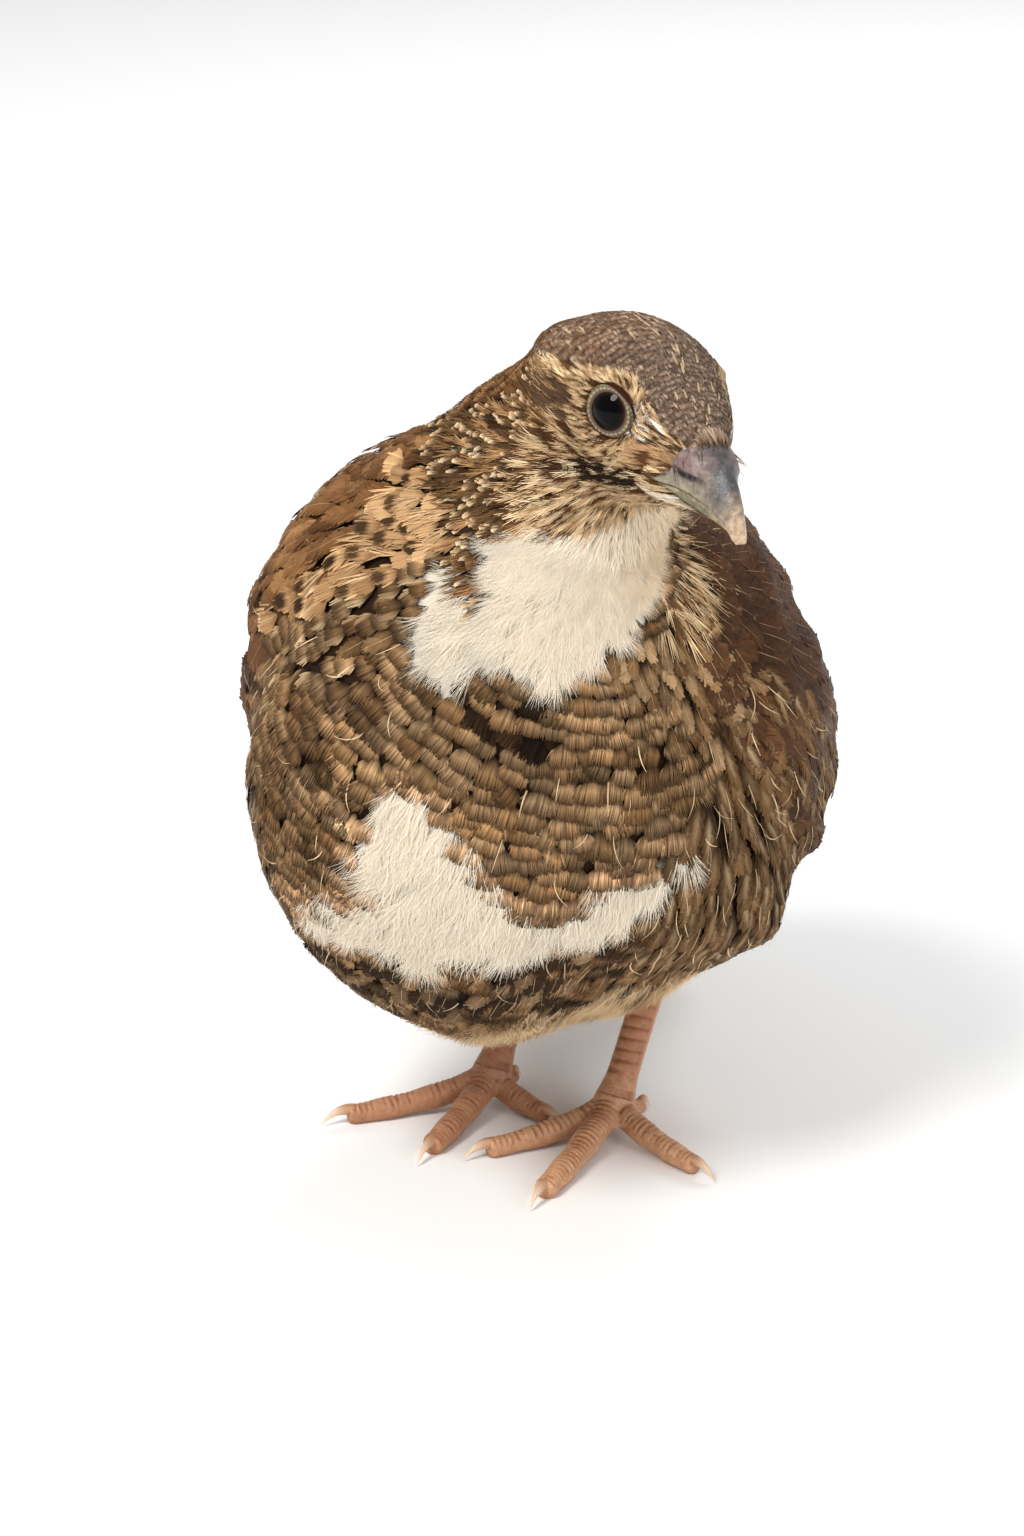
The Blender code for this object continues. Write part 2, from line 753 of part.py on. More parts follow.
def make_tail(torso, wings, draw):
    tail = cut_by(make_rump(), torso, *wings)
    combine(tail, tail_feathers(draw), "UNION")
    return cut_by(tail, torso, *wings, gap=GAP)


# Legs


def make_tarsus(side, torso):
    foot = FEET[side]["ball"]
    low = Vector((foot[0] * MM, foot[1] * MM, BALL_HEIGHT - 0.6 * MM))
    lean = LEG_LEAN[side].normalized()
    turn = lean.to_track_quat("Z", "Y").to_matrix()
    rings, count, sides = [], 9, 12
    for i in range(count):
        s = i / (count - 1)
        swell = 1 + 0.75 * math.exp(-((s / 0.10) ** 2)) + 0.25 * math.exp(-(((s - 1) / 0.2) ** 2))
        radius = TARSUS_RADIUS * swell
        centre = low + lean * TARSUS_LENGTH * s
        rings.append(
            [
                centre + turn @ Vector((radius * 0.92 * math.cos(a), radius * 1.1 * math.sin(a), 0))
                for a in (2 * math.pi * k / sides for k in range(sides))
            ]
        )
    below = low - lean * 1.6 * MM
    return cut_by(ring_solid("tarsus_" + side, rings, below, low + lean * TARSUS_LENGTH), torso)


def toe_line(side, toe, s):
    """The middle of a toe with its claw, from the ball of the foot (0) to the claw tip (1)."""
    ball_x, ball_y = FEET[side]["ball"]
    tip_x, tip_y = FEET[side][toe]
    rise = (1 - s) ** TOE_DROP
    height = BALL_HEIGHT * rise + TOE_HEIGHT * (1 - rise)
    return Vector(((ball_x + (tip_x - ball_x) * s) * MM, (ball_y + (tip_y - ball_y) * s) * MM, height))


def make_toe(side, toe, neighbours):
    """A toe with a pad under each joint, flat where it stands on the floor."""
    start, tip = toe_line(side, toe, 0), toe_line(side, toe, 1)
    length = (tip - start).length
    share = 1 - CLAW_LENGTH[toe] * 0.86 / length
    across = Vector((0, 0, 1)).cross(tip - start).normalized()
    radius = TOE_RADIUS[toe]
    rings, count, sides = [], 11, 10
    pads = 2 if toe in ("toe_inner", "toe_hind") else 3
    for i in range(count):
        s = i / (count - 1)
        pad = 0.5 + 0.5 * math.cos(2 * math.pi * pads * (s - 0.06))
        size = radius * (1.12 - 0.30 * s + 0.10 * pad)
        if i == count - 1:
            size *= 0.72
        centre = toe_line(side, toe, s * share)
        below = min(size + 0.35 * MM * pad, centre.z + 0.25 * MM)
        ring = []
        for k in range(sides):
            a = 2 * math.pi * k / sides
            rise = size * math.cos(a) if math.cos(a) > 0 else below * math.cos(a)
            ring.append(centre + across * size * math.sin(a) + Vector((0, 0, rise)))
        rings.append(ring)
    name = toe + "_" + side
    toe_solid = ring_solid(name, rings, start, toe_line(side, toe, share + 0.02))
    cut_by(toe_solid, *neighbours)
    floor = half_space(Vector((0, 0, -GAP / 2)), Vector((0, 0, 1)), -1)
    return combine(toe_solid, [floor], "DIFFERENCE")


def make_claw(side, toe, toe_solid):
    start, tip = toe_line(side, toe, 0), toe_line(side, toe, 1)
    length = (tip - start).length
    share = 1 - CLAW_LENGTH[toe] / length
    root = toe_line(side, toe, share)
    along = (tip - root).normalized()
    across = Vector((0, 0, 1)).cross(along).normalized()
    rings, count, sides = [], 5, 7
    for i in range(count):
        s = i / count
        size = (0.95 * (1 - s) ** 0.8 + 0.12) * MM * (0.8 if toe == "toe_hind" else 1)
        centre = root + (tip - root) * s
        centre.z = 1.75 * MM + 0.55 * MM * math.sin(math.pi * s * 0.8) - 1.75 * MM * s**2.2 + 0.2 * MM
        rings.append(
            [
                centre + across * size * 0.8 * math.sin(a) + Vector((0, 0, size * math.cos(a)))
                for a in (2 * math.pi * k / sides for k in range(sides))
            ]
        )
    end = Vector((tip.x, tip.y, 0.22 * MM))
    return cut_by(ring_solid("claw_" + toe[4:] + "_" + side, rings, root, end), toe_solid)


def main():
    for obj in list(bpy.data.objects):
        bpy.data.objects.remove(obj)
    materials = {name: make_material(name) for name in COLOURS}
    torso, neck, head = part_body()
    eyes = make_eyes(head)
    upper = make_upper_bill(head)
    lower = make_lower_bill(head)
    draw = random.Random(SEED)
    wings = [
        make_wing(side, name, (torso, neck), draw) for side, name in ((1, "wing_left"), (-1, "wing_right"))
    ]
    tail = make_tail(torso, wings, draw)
    for obj in (torso, neck, head, tail):
        finish(obj, materials["plumage"])
    for obj in eyes:
        finish(obj, materials["eye"])
    for obj in (upper, lower):
        finish(obj, materials["bill"])
    for obj in wings:
        finish(obj, materials["wing"])
    for side in ("left", "right"):
        tarsus = finish(make_tarsus(side, torso), materials["leg"])
        grown = [tarsus]
        for toe in ("toe_middle", "toe_outer", "toe_inner", "toe_hind"):
            toe_solid = finish(make_toe(side, toe, grown), materials["leg"])
            finish(make_claw(side, toe, toe_solid), materials["claw"])
            grown.append(toe_solid)
    for obj in bpy.data.objects:
        obj.data.transform(Matrix.Translation(SHIFT))


main()
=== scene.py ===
"""The looks of the quail: skin, feathers, eyes, bill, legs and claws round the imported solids."""

import heapq
import math

import bmesh
import bpy
import numpy as np
from mathutils import Matrix, Vector
from mathutils.bvhtree import BVHTree
from mathutils.interpolate import poly_3d_calc


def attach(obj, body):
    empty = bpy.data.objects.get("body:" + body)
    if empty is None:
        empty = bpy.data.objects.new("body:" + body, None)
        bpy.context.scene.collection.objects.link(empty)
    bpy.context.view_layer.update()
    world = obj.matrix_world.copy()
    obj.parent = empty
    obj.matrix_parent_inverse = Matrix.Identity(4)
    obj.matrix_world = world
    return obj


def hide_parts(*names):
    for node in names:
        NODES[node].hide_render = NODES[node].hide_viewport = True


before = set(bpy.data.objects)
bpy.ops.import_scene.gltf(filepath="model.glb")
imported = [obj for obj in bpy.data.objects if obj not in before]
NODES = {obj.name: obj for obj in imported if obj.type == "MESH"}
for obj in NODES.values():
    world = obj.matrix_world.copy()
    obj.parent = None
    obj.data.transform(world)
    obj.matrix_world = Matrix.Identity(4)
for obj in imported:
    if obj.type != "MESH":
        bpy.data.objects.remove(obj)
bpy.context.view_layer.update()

MM = 0.001
SEED = 11

# Camera: where the photograph was taken from, and its frame in pixels
CAMERA_TARGET = Vector((-0.7, -27.8, 62.0)) * MM
CAMERA_AZIMUTH = math.radians(14)
CAMERA_ELEVATION = math.radians(20)
CAMERA_DISTANCE = 0.6
CAMERA_LENS = 100.0
CAMERA_SENSOR = 36.0
PHOTO_WIDTH, PHOTO_HEIGHT = 1024, 1536

# Lamps: name, place and size in metres, power in watts, colour
LAMPS = (
    ("key", (-0.35, -0.75, 0.95), 0.45, 12.0, (1.0, 0.98, 0.95)),
    ("fill", (0.8, -0.6, 0.45), 0.6, 3.6, (0.95, 0.98, 1.0)),
    ("rim", (0.1, 0.8, 0.8), 0.5, 5.0, (1, 1, 1)),
)
ROOM_LIGHT = 0.5
FLOOR_REACH = 4.0
FLOOR_COLOUR = (0.93, 0.93, 0.93, 1)

# The head's own frame: its place, its turn to the bird's left, its pitch down and its roll
HEAD_CENTRE = Vector((23.3, -46.6, 120.9)) * MM
HEAD_TURN = math.radians(43)
HEAD_PITCH = math.radians(13)
HEAD_ROLL = math.radians(-5.6)
BILL_ROOT = (15.5, 0, -2)

# Torso: the egg that the wings lie on, as in the solids
TORSO_CENTRE = Vector((0.2, -11.8, 60.8)) * MM
TORSO_PITCH = math.radians(41)
TORSO_ROLL = math.radians(3.3)
TORSO_HALF_LENGTH = 55 * MM
TORSO_HALF_WIDTH = 40.2 * MM
BACK_RISE = 41.2 * MM
BELLY_DROP = 46.2 * MM
TORSO_EGG = 0.13
TORSO_ROUNDNESS = 1.91

# Wings: shares of the torso's length, and degrees round it from the back
WING_FRONT = 0.78
WING_REACH = 1.72
WING_EDGES = (
    (0.0, 54, 80),
    (0.07, 40, 97),
    (0.25, 28, 103),
    (0.55, 21, 103),
    (0.8, 17, 82),
    (1.0, 13, 46),
)

# Tail, in mm along it, across it and over it from its root
TAIL_ROOT = Vector((0.1, 22.2, 44)) * MM
TAIL_DROOP = math.radians(36)
RUMP_LENGTH = 27
RUMP_RISE = 4.2

# Eyes, in mm in the head's frame
EYE_PLACE = Vector((0.8, 5.7, 0.7))
SOCKET_PLACE = Vector((1.2, 6.1, 1.5))
EYE_RADIUS = 4.3

# How far the skin under an eye may reach along the eye's look, by its distance from that line, in mm
SOCKET_FLOOR = ((0, 3.7), (2.4, 3.0), (3.2, 2.6), (3.7, 2.7), (4.3, 3.1), (5.0, 3.9))

EYE_FORWARD = math.radians(26)
EYE_CLEAR = 3.6

# Bill, in mm in the head's frame: x, half width, ridge, mouth, lower edge
BILL_STATIONS = (
    (8, 5.6, 3.0, -5.8, -7.4),
    (11, 5.0, 3.1, -5.1, -7.1),
    (14, 4.1, 2.9, -4.4, -6.9),
    (17, 3.2, 1.3, -4.3, -6.8),
    (20, 2.3, -0.8, -4.7, -6.8),
    (22.5, 1.6, -2.8, -5.6, -6.9),
    (24.2, 1.1, -4.8, -6.9, -7.2),
    (24.9, 0.75, -6.0, -7.3, -7.4),
)
LOWER_BILL_END = 22.8
NOSTRIL_PLACE = (14.8, -0.7)
NOSTRIL_SIZE = (3.5, 2.3)

# Legs and feet: each foot's ball and the claw tips of its toes on the floor, in mm
FOOT_SHIFT = (-0.7, -27.8)
LEG_LEAN = Vector((0.20, 0.42, 0.88)).normalized()
TARSUS_LENGTH = 27
BALL_HEIGHT = 4.6
TOE_HEIGHT = 1.3
TOE_DROP = 2.7
FEET = {
    "left": {
        "ball": (11.4, 15.7),
        "toe_inner": (-7.4, 0.3),
        "toe_middle": (6.0, -13.5),
        "toe_outer": (29.6, 1.9),
        "toe_hind": (15.0, 25.5),
    },
    "right": {
        "ball": (-8.7, 21.3),
        "toe_inner": (4.6, 14.6),
        "toe_middle": (-13.5, -3.0),
        "toe_outer": (-30.9, 7.0),
        "toe_hind": (-6.5, 31.5),
    },
}
CLAW_LENGTH = {"toe_inner": 4.6, "toe_middle": 5.4, "toe_outer": 4.8, "toe_hind": 2.8}
TOE_RADIUS = {"toe_inner": 1.75, "toe_middle": 1.95, "toe_outer": 1.75, "toe_hind": 1.3}
TARSUS_RADIUS = 2.3
LEG_VOXEL = 0.27 * MM
LEG_SMOOTHING = 5

# The steps along a limb and the sides of the tube round it, and how far apart the scutes are in mm
LIMB_STEPS = 28
LIMB_SIDES = 20
TARSUS_SCUTES = 1.75
TOE_SCUTES = 0.95

# How many steps the web between two toes has, and how far along them it reaches, in steps of the limbs
WEB_STEPS = 9
WEB_REACH = 11.5
WEB_CURVE = 4.5

# Claws: rings and sides, the half height at the root and the share of it that the half width has
CLAW_RINGS = 22
CLAW_SIDES = 18
CLAW_DEPTH = 1.0
CLAW_NARROWNESS = 0.72

# Skin: its voxels, and how deep it lies in the solids at a way from the bill, in mm
SKIN_VOXEL = 1.15 * MM
SKIN_SMOOTHING = 14
SKIN_DEPTH = ((0, 0.5), (24, 0.6), (45, 1.1), (62, 1.7), (260, 1.7))

# The belly is tucked up between the legs: by how much in mm, and between which pixels of the photograph
TUCK_DEPTH = 4.5
TUCK_ROWS = (930, 1015)
TUCK_COLUMNS = (470, 590)

# A line at the shoulder in the photograph where the feathers stand out: its ends in pixels, how far they
# stand out in mm, and how far from it in pixels
STANDING_OUT = (((270, 560), (385, 455), 1.1, 105),)

# Lines at the flank and the nape where the skin under the feathers is fuller, in the same form
FULLER = (
    ((822, 700), (820, 770), 1.9, 95),
    ((806, 850), (796, 925), 1.7, 60),
    ((526, 352), (490, 386), 1.3, 75),
)

# In shares of a wing: the part along it that its own feathers cover and their upper edge, where the flank's
# feathers begin to cover it, and the part along it and the lower limit of the flank
WING_ALONG = (0.035, 0.93)
WING_TOP = -0.03
FLANK_START = 0.7
FLANK_ALONG = (0.1, 1.0)
FLANK_LOW = 1.5

# The small feathers are shorter and turned outward from an eye, more so between these distances in mm
EYE_REACH = (8.5, 4.2)

# How many tufts of down and how many small feathers grow together
DOWN_TOGETHER = 5
SMALL_TOGETHER = 2

# How many degrees from its middle line the back reaches to both sides
BACK_TURN = 58

# How often a single barb lies loose over the flank and over the breast
FLANK_BARBS = 0.4
BREAST_BARBS = 0.17

# Rows of feathers: how far apart at a way from the bill, in mm
ROW_SPACING = (
    (0, 0.7), (15, 0.85), (24, 1.05), (31, 1.45), (46, 2.2), (60, 2.5), (110, 2.6), (260, 3.2),
)

# How far apart the feathers of a row are, in row spacings
COLUMN_SHARE = ((0, 0.6), (26, 0.65), (31, 0.85), (46, 1.15), (62, 1.45), (260, 1.4))

# Ways over the skin from the bill, in mm: how far the bill may be in a feather's way, where small feathers
# begin to grow in pairs, how far the white is hair, where the head ends, how far the side of the neck
# reaches behind it, where white down is longer, where the rows come loose, and where single barbs do
BILL_WAY = 22
DOUBLE_WAY = 26
WHITE_HAIR_WAY = 27
HEAD_WAY = 31
NECK_SIDE_WAY = 40
LONG_DOWN_WAY = 45
NECK_WAY = 46
BREAST_WAY = 50

# How much the skin faces the camera where it is seen, and how far a feather stands out along its length
SEEN_FROM = -0.05
STANDING_SHARES = np.array((0.3, 0.8, 1, 0.95, 0.75))

RANDOM = np.random.default_rng(SEED)


# Camera, light and floor


def photo_axes():
    """The camera's right, up and back directions."""
    back = Vector(
        (
            math.sin(CAMERA_AZIMUTH) * math.cos(CAMERA_ELEVATION),
            -math.cos(CAMERA_AZIMUTH) * math.cos(CAMERA_ELEVATION),
            math.sin(CAMERA_ELEVATION),
        )
    )
    right = Vector((0, 0, 1)).cross(back).normalized()
    return right, back.cross(right), back


PHOTO_RIGHT, PHOTO_UP, PHOTO_BACK = photo_axes()


def in_photo(place):
    """The pixel of the photograph that a place on the body falls on."""
    away = place - CAMERA_TARGET
    scale = CAMERA_LENS / CAMERA_SENSOR * PHOTO_HEIGHT / (CAMERA_DISTANCE - away.dot(PHOTO_BACK))
    return PHOTO_WIDTH / 2 + away.dot(PHOTO_RIGHT) * scale, PHOTO_HEIGHT / 2 - away.dot(PHOTO_UP) * scale


def make_camera():
    """A camera that sees the bird as the photograph does."""
    data = bpy.data.cameras.new("camera")
    data.lens = CAMERA_LENS
    data.sensor_width = CAMERA_SENSOR
    data.clip_start = 0.01
    camera = bpy.data.objects.new("camera", data)
    bpy.context.scene.collection.objects.link(camera)
    turn = Matrix((PHOTO_RIGHT, PHOTO_UP, PHOTO_BACK)).transposed().to_4x4()
    camera.matrix_world = Matrix.Translation(CAMERA_TARGET + PHOTO_BACK * CAMERA_DISTANCE) @ turn
    bpy.context.scene.camera = camera


def make_light(name, place, size, power, colour):
    """A round lamp that shines on the bird."""
    data = bpy.data.lights.new(name, "AREA")
    data.shape = "DISK"
    data.size = size
    data.energy = power
    data.color = colour
    light = bpy.data.objects.new(name, data)
    light.location = place
    light.rotation_euler = (CAMERA_TARGET - Vector(place)).to_track_quat("-Z", "Y").to_euler()
    bpy.context.scene.collection.objects.link(light)


def make_studio():
    """A white room with three lamps, and the floor that the bird stands on."""
    world = bpy.data.worlds.new("studio")
    world.use_nodes = True
    background = world.node_tree.nodes["Background"]
    background.inputs["Color"].default_value = (1, 1, 1, 1)
    background.inputs["Strength"].default_value = ROOM_LIGHT
    bpy.context.scene.world = world
    for lamp in LAMPS:
        make_light(*lamp)
    bm = bmesh.new()
    bmesh.ops.create_grid(bm, x_segments=1, y_segments=1, size=FLOOR_REACH)
    mesh = bpy.data.meshes.new("floor")
    bm.to_mesh(mesh)
    bm.free()
    floor = link_mesh("floor", mesh)
    material = bpy.data.materials.new("floor")
    material.use_nodes = True
    shader = material.node_tree.nodes["Principled BSDF"]
    shader.inputs["Base Color"].default_value = FLOOR_COLOUR
    shader.inputs["Roughness"].default_value = 0.8
    mesh.materials.append(material)


# Small helpers


def stepped(rows, x):
    """Values between the rows of a table, straight from one to the next."""
    return np.interp(x, [row[0] for row in rows], [row[1] for row in rows])


def smooth_step(x, low, high):
    """0 up to low and 1 from high on, with a smooth rise between them."""
    x = np.clip((np.asarray(x, float) - low) / (high - low), 0, 1)
    x = x * x * (3 - 2 * x)
    return x if x.ndim else float(x)


def unit(vectors):
    """The vectors at length 1."""
    return vectors / np.maximum(np.linalg.norm(vectors, axis=-1, keepdims=True), 1e-12)


def link_mesh(name, mesh):
    """A new object in the scene that shows a mesh."""
    obj = bpy.data.objects.new(name, mesh)
    bpy.context.scene.collection.objects.link(obj)
    return obj


def finished(name, mesh, tints, material):
    """A smooth piece from a mesh, with its colours and its surface."""
    set_tint(mesh, tints)
    mesh.shade_smooth()
    mesh.materials.append(material)
    return link_mesh(name, mesh)


def numbers_of(items, name, width, kind=np.float32):
    """One property of a mesh's vertices or polygons, a row of numbers for each."""
    values = np.empty(len(items) * width, kind)
    items.foreach_get(name, values)
    return values.reshape(-1, width)


def mesh_from_arrays(name, points, faces):
    """A mesh of triangles or quads, from numbers alone."""
    mesh = bpy.data.meshes.new(name)
    count, sides = faces.shape
    mesh.vertices.add(len(points))
    mesh.vertices.foreach_set("co", np.ascontiguousarray(points, np.float32).ravel())
    mesh.loops.add(count * sides)
    mesh.loops.foreach_set("vertex_index", np.ascontiguousarray(faces, np.int32).ravel())
    mesh.polygons.add(count)
    mesh.polygons.foreach_set("loop_start", np.arange(count, dtype=np.int32) * sides)
    mesh.update(calc_edges=True)
    mesh.validate()
    return mesh


def set_tint(mesh, colours):
    """Gives each point of a mesh its colour."""
    layer = mesh.color_attributes.new("tint", "FLOAT_COLOR", "POINT")
    values = np.ones((len(colours), 4), np.float32)
    values[:, :3] = colours
    layer.data.foreach_set("color", values.ravel())


def linear(colour):
    """A colour seen on a screen, 0 to 255, as the light that it stands for."""
    values = np.asarray(colour, float) / 255
    return np.where(values <= 0.04045, values / 12.92, ((values + 0.055) / 1.055) ** 2.4)


def standing_out(pixels, lines):
    """How far in mm the coat or the skin stands out along some lines, where these pixels show."""
    most = np.zeros(np.shape(pixels)[:-1])
    for start, end, rise, reach in lines:
        start, run = np.array(start), np.subtract(end, start)
        share = np.clip((pixels - start) @ run / (run @ run), 0, 1)
        gap = np.linalg.norm(pixels - start - share[..., None] * run, axis=-1)
        most = np.maximum(most, rise * smooth_step(gap, reach, 15))
    return most


# Skin


def joined_copy(name, nodes, swell):
    """The named solids as one mesh, each point moved out a little, so that they overlap."""
    bm = bmesh.new()
    for node in nodes:
        mesh = NODES[node].data.copy()
        bm.from_mesh(mesh)
        bpy.data.meshes.remove(mesh)
    bmesh.ops.remove_doubles(bm, verts=bm.verts, dist=1e-6)
    bm.normal_update()
    for vert in bm.verts:
        vert.co += vert.normal * swell
    mesh = bpy.data.meshes.new(name)
    bm.to_mesh(mesh)
    bm.free()
    return link_mesh(name, mesh)


def apply_modifiers(obj):
    """Turns an object's modifiers into its mesh."""
    graph = bpy.context.evaluated_depsgraph_get()
    mesh = bpy.data.meshes.new_from_object(obj.evaluated_get(graph))
    obj.modifiers.clear()
    obj.data = mesh


def remeshed(obj, voxel, smooth_rounds):
    """Makes one even, smooth, closed skin of all that an object holds."""
    remesh = obj.modifiers.new("remesh", "REMESH")
    remesh.mode = "VOXEL"
    remesh.voxel_size = voxel
    smooth = obj.modifiers.new("smooth", "SMOOTH")
    smooth.factor = 0.5
    smooth.iterations = smooth_rounds
    apply_modifiers(obj)
    bm = bmesh.new()
    bm.from_mesh(obj.data)
    left = set(bm.faces)
    shells = []
    while left:
        todo = [left.pop()]
        shell = []
        while todo:
            face = todo.pop()
            shell.append(face)
            for edge in face.edges:
                for other in edge.link_faces:
                    if other in left:
                        left.remove(other)
                        todo.append(other)
        shells.append(shell)
    largest = set(max(shells, key=len))
    bmesh.ops.delete(bm, geom=[face for face in bm.faces if face not in largest], context="FACES")
    bmesh.ops.triangulate(bm, faces=bm.faces)
    bm.to_mesh(obj.data)
    bm.free()


class Skin:
    """The body's surface under the feathers, and the way that they lie on it."""

    def __init__(self, obj):
        self.obj = obj
        self.read()
        self.way = self.way_from_bill()
        self.sink()
        self.read()
        self.flow = self.gradient(self.way)
        self.make_tree()

    def read(self):
        """Takes the points, faces, edges and normals from the mesh."""
        self.points = numbers_of(self.obj.data.vertices, "co", 3).astype(float)
        self.faces = numbers_of(self.obj.data.polygons, "vertices", 3, np.int32)
        ends = np.concatenate([self.faces[:, [0, 1]], self.faces[:, [1, 2]], self.faces[:, [2, 0]]])
        self.edges = np.unique(np.sort(ends, axis=1), axis=0)
        corners = self.points[self.faces]
        across = np.cross(corners[:, 1] - corners[:, 0], corners[:, 2] - corners[:, 0])
        normals = np.zeros_like(self.points)
        for k in range(3):
            np.add.at(normals, self.faces[:, k], across)
        self.normals = unit(normals)

    def averaged(self, values, rounds):
        """The values evened out over neighbours."""
        a, b = self.edges.T
        share = np.bincount(self.edges.ravel(), minlength=len(self.points)).astype(float)
        share = share.reshape(-1, *([1] * (values.ndim - 1)))
        for _ in range(rounds):
            total = np.zeros_like(values)
            np.add.at(total, a, values[b])
            np.add.at(total, b, values[a])
            values = 0.5 * values + 0.5 * total / share
        return values

    def way_from_bill(self):
        """The shortest way over the skin from the base of the bill, in mm."""
        neighbours = [[] for _ in self.points]
        for a, b in self.edges.tolist():
            neighbours[a].append(b)
            neighbours[b].append(a)
        opposite = {}
        for face in self.faces.tolist():
            for k in range(3):
                key = tuple(sorted((face[k], face[(k + 1) % 3])))
                opposite.setdefault(key, []).append(face[(k + 2) % 3])
        for pair in opposite.values():
            if len(pair) == 2:
                neighbours[pair[0]].append(pair[1])
                neighbours[pair[1]].append(pair[0])
        bill_root = np.array(head_point(*BILL_ROOT))
        start = int(np.argmin(np.linalg.norm(self.points - bill_root, axis=1)))
        way = np.full(len(self.points), np.inf)
        way[start] = 0
        heap = [(0.0, start)]
        points = (self.points / MM).tolist()
        while heap:
            reached, here = heapq.heappop(heap)
            if reached > way[here]:
                continue
            for there in neighbours[here]:
                total = reached + math.dist(points[here], points[there])
                if total < way[there]:
                    way[there] = total
                    heapq.heappush(heap, (total, there))
        way[~np.isfinite(way)] = 0
        return self.averaged(way, 12)

    def sink(self):
        """Moves the skin in by the depth of the coat."""
        pixels = np.array([in_photo(Vector(point)) for point in self.points])
        tucked = smooth_step(pixels[:, 1], *TUCK_ROWS) * smooth_step(pixels[:, 0], *TUCK_COLUMNS)
        raised = standing_out(pixels, STANDING_OUT) / STANDING_OUT[0][2]
        depth = stepped(SKIN_DEPTH, self.way) * (1 - raised) + TUCK_DEPTH * tucked
        depth = (depth - standing_out(pixels, FULLER)) * MM
        normals = unit(self.averaged(self.normals, 4))
        points = self.points - normals * depth[:, None]
        for centre, look in (eye_axes(1), eye_axes(-1)):
            away, axis = points - np.array(centre), np.array(look)
            ahead = away @ axis
            gap = np.linalg.norm(away - ahead[:, None] * axis, axis=1)
            over = ahead - stepped(SOCKET_FLOOR, gap / MM) * MM
            near = (ahead > 0) & (over > 0) & (gap < SOCKET_FLOOR[-1][0] * MM)
            points[near] -= over[near, None] * axis
        self.obj.data.vertices.foreach_set("co", points.astype(np.float32).ravel())
        self.obj.data.update()

    def gradient(self, values):
        """The direction over the skin in which the values grow, at each point."""
        corners = self.points[self.faces]
        normal = np.cross(corners[:, 1] - corners[:, 0], corners[:, 2] - corners[:, 0])
        area = np.maximum(np.linalg.norm(normal, axis=1, keepdims=True), 1e-12)
        normal /= area
        slope = np.zeros_like(normal)
        for k in range(3):
            opposite = corners[:, (k + 2) % 3] - corners[:, (k + 1) % 3]
            slope += np.cross(normal, opposite) * values[self.faces[:, k], None]
        total = np.zeros_like(self.points)
        for k in range(3):
            np.add.at(total, self.faces[:, k], slope)
        total = self.averaged(unit(total), 8)
        total -= self.normals * (total * self.normals).sum(1, keepdims=True)
        return unit(total)

    def make_tree(self):
        """Readies the skin for looking up its nearest places."""
        self.tree = BVHTree.FromPolygons(self.points.tolist(), self.faces.tolist())
        self.corners = self.faces.tolist()
        self.places, self.ups, self.lies = (
            [Vector(row) for row in rows.tolist()] for rows in (self.points, self.normals, self.flow)
        )

    def at(self, place):
        """The nearest point of the skin, its normal, its lie of feathers and its way from the bill."""
        near, _, face, _ = self.tree.find_nearest(place)
        a, b, c = self.corners[face]
        p, q, r = poly_3d_calc((self.places[a], self.places[b], self.places[c]), near)
        normal = (self.ups[a] * p + self.ups[b] * q + self.ups[c] * r).normalized()
        flow = self.lies[a] * p + self.lies[b] * q + self.lies[c] * r
        flow = (flow - normal * flow.dot(normal)).normalized()
        return near, normal, flow, self.way[a] * p + self.way[b] * q + self.way[c] * r

    def rows(self, level):
        """The closed lines over the skin where the way from the bill has this value."""
        values = self.way[self.faces] - level
        crossed = (values.min(1) < 0) & (values.max(1) >= 0)
        pieces = {}
        places = {}
        for face in np.nonzero(crossed)[0]:
            ends = []
            for k in range(3):
                a, b = int(self.faces[face, k]), int(self.faces[face, (k + 1) % 3])
                va, vb = self.way[a] - level, self.way[b] - level
                if (va < 0) != (vb < 0):
                    key = (min(a, b), max(a, b))
                    if key not in places:
                        run = self.points[b] - self.points[a]
                        places[key] = self.points[a] + run * (va / (va - vb))
                    ends.append(key)
            if len(ends) == 2:
                pieces.setdefault(ends[0], []).append(ends[1])
                pieces.setdefault(ends[1], []).append(ends[0])
        lines = []
        left = set(pieces)
        while left:
            key = min(left)
            line = [key]
            left.discard(key)
            while True:
                following = [other for other in pieces[line[-1]] if other in left]
                if not following:
                    break
                line.append(following[0])
                left.discard(following[0])
            lines.append(np.array([places[key] for key in line]))
        return lines


HEAD_FORWARD = Vector(
    (
        math.sin(HEAD_TURN) * math.cos(HEAD_PITCH),
        -math.cos(HEAD_TURN) * math.cos(HEAD_PITCH),
        -math.sin(HEAD_PITCH),
    )
)
HEAD_LEFT = Vector((math.cos(HEAD_TURN), math.sin(HEAD_TURN), 0))
HEAD_UP = HEAD_FORWARD.cross(HEAD_LEFT)
HEAD_FRAME = Matrix((HEAD_FORWARD, HEAD_LEFT, HEAD_UP)).transposed() @ Matrix.Rotation(HEAD_ROLL, 3, "X")


def head_point(forward, left, up):
    """A place given in mm in the head's frame."""
    return HEAD_CENTRE + HEAD_FRAME @ Vector((forward, left, up)) * MM


def in_head(place):
    """A place on the body in the head's frame, in mm."""
    return HEAD_FRAME.transposed() @ (place - HEAD_CENTRE) / MM


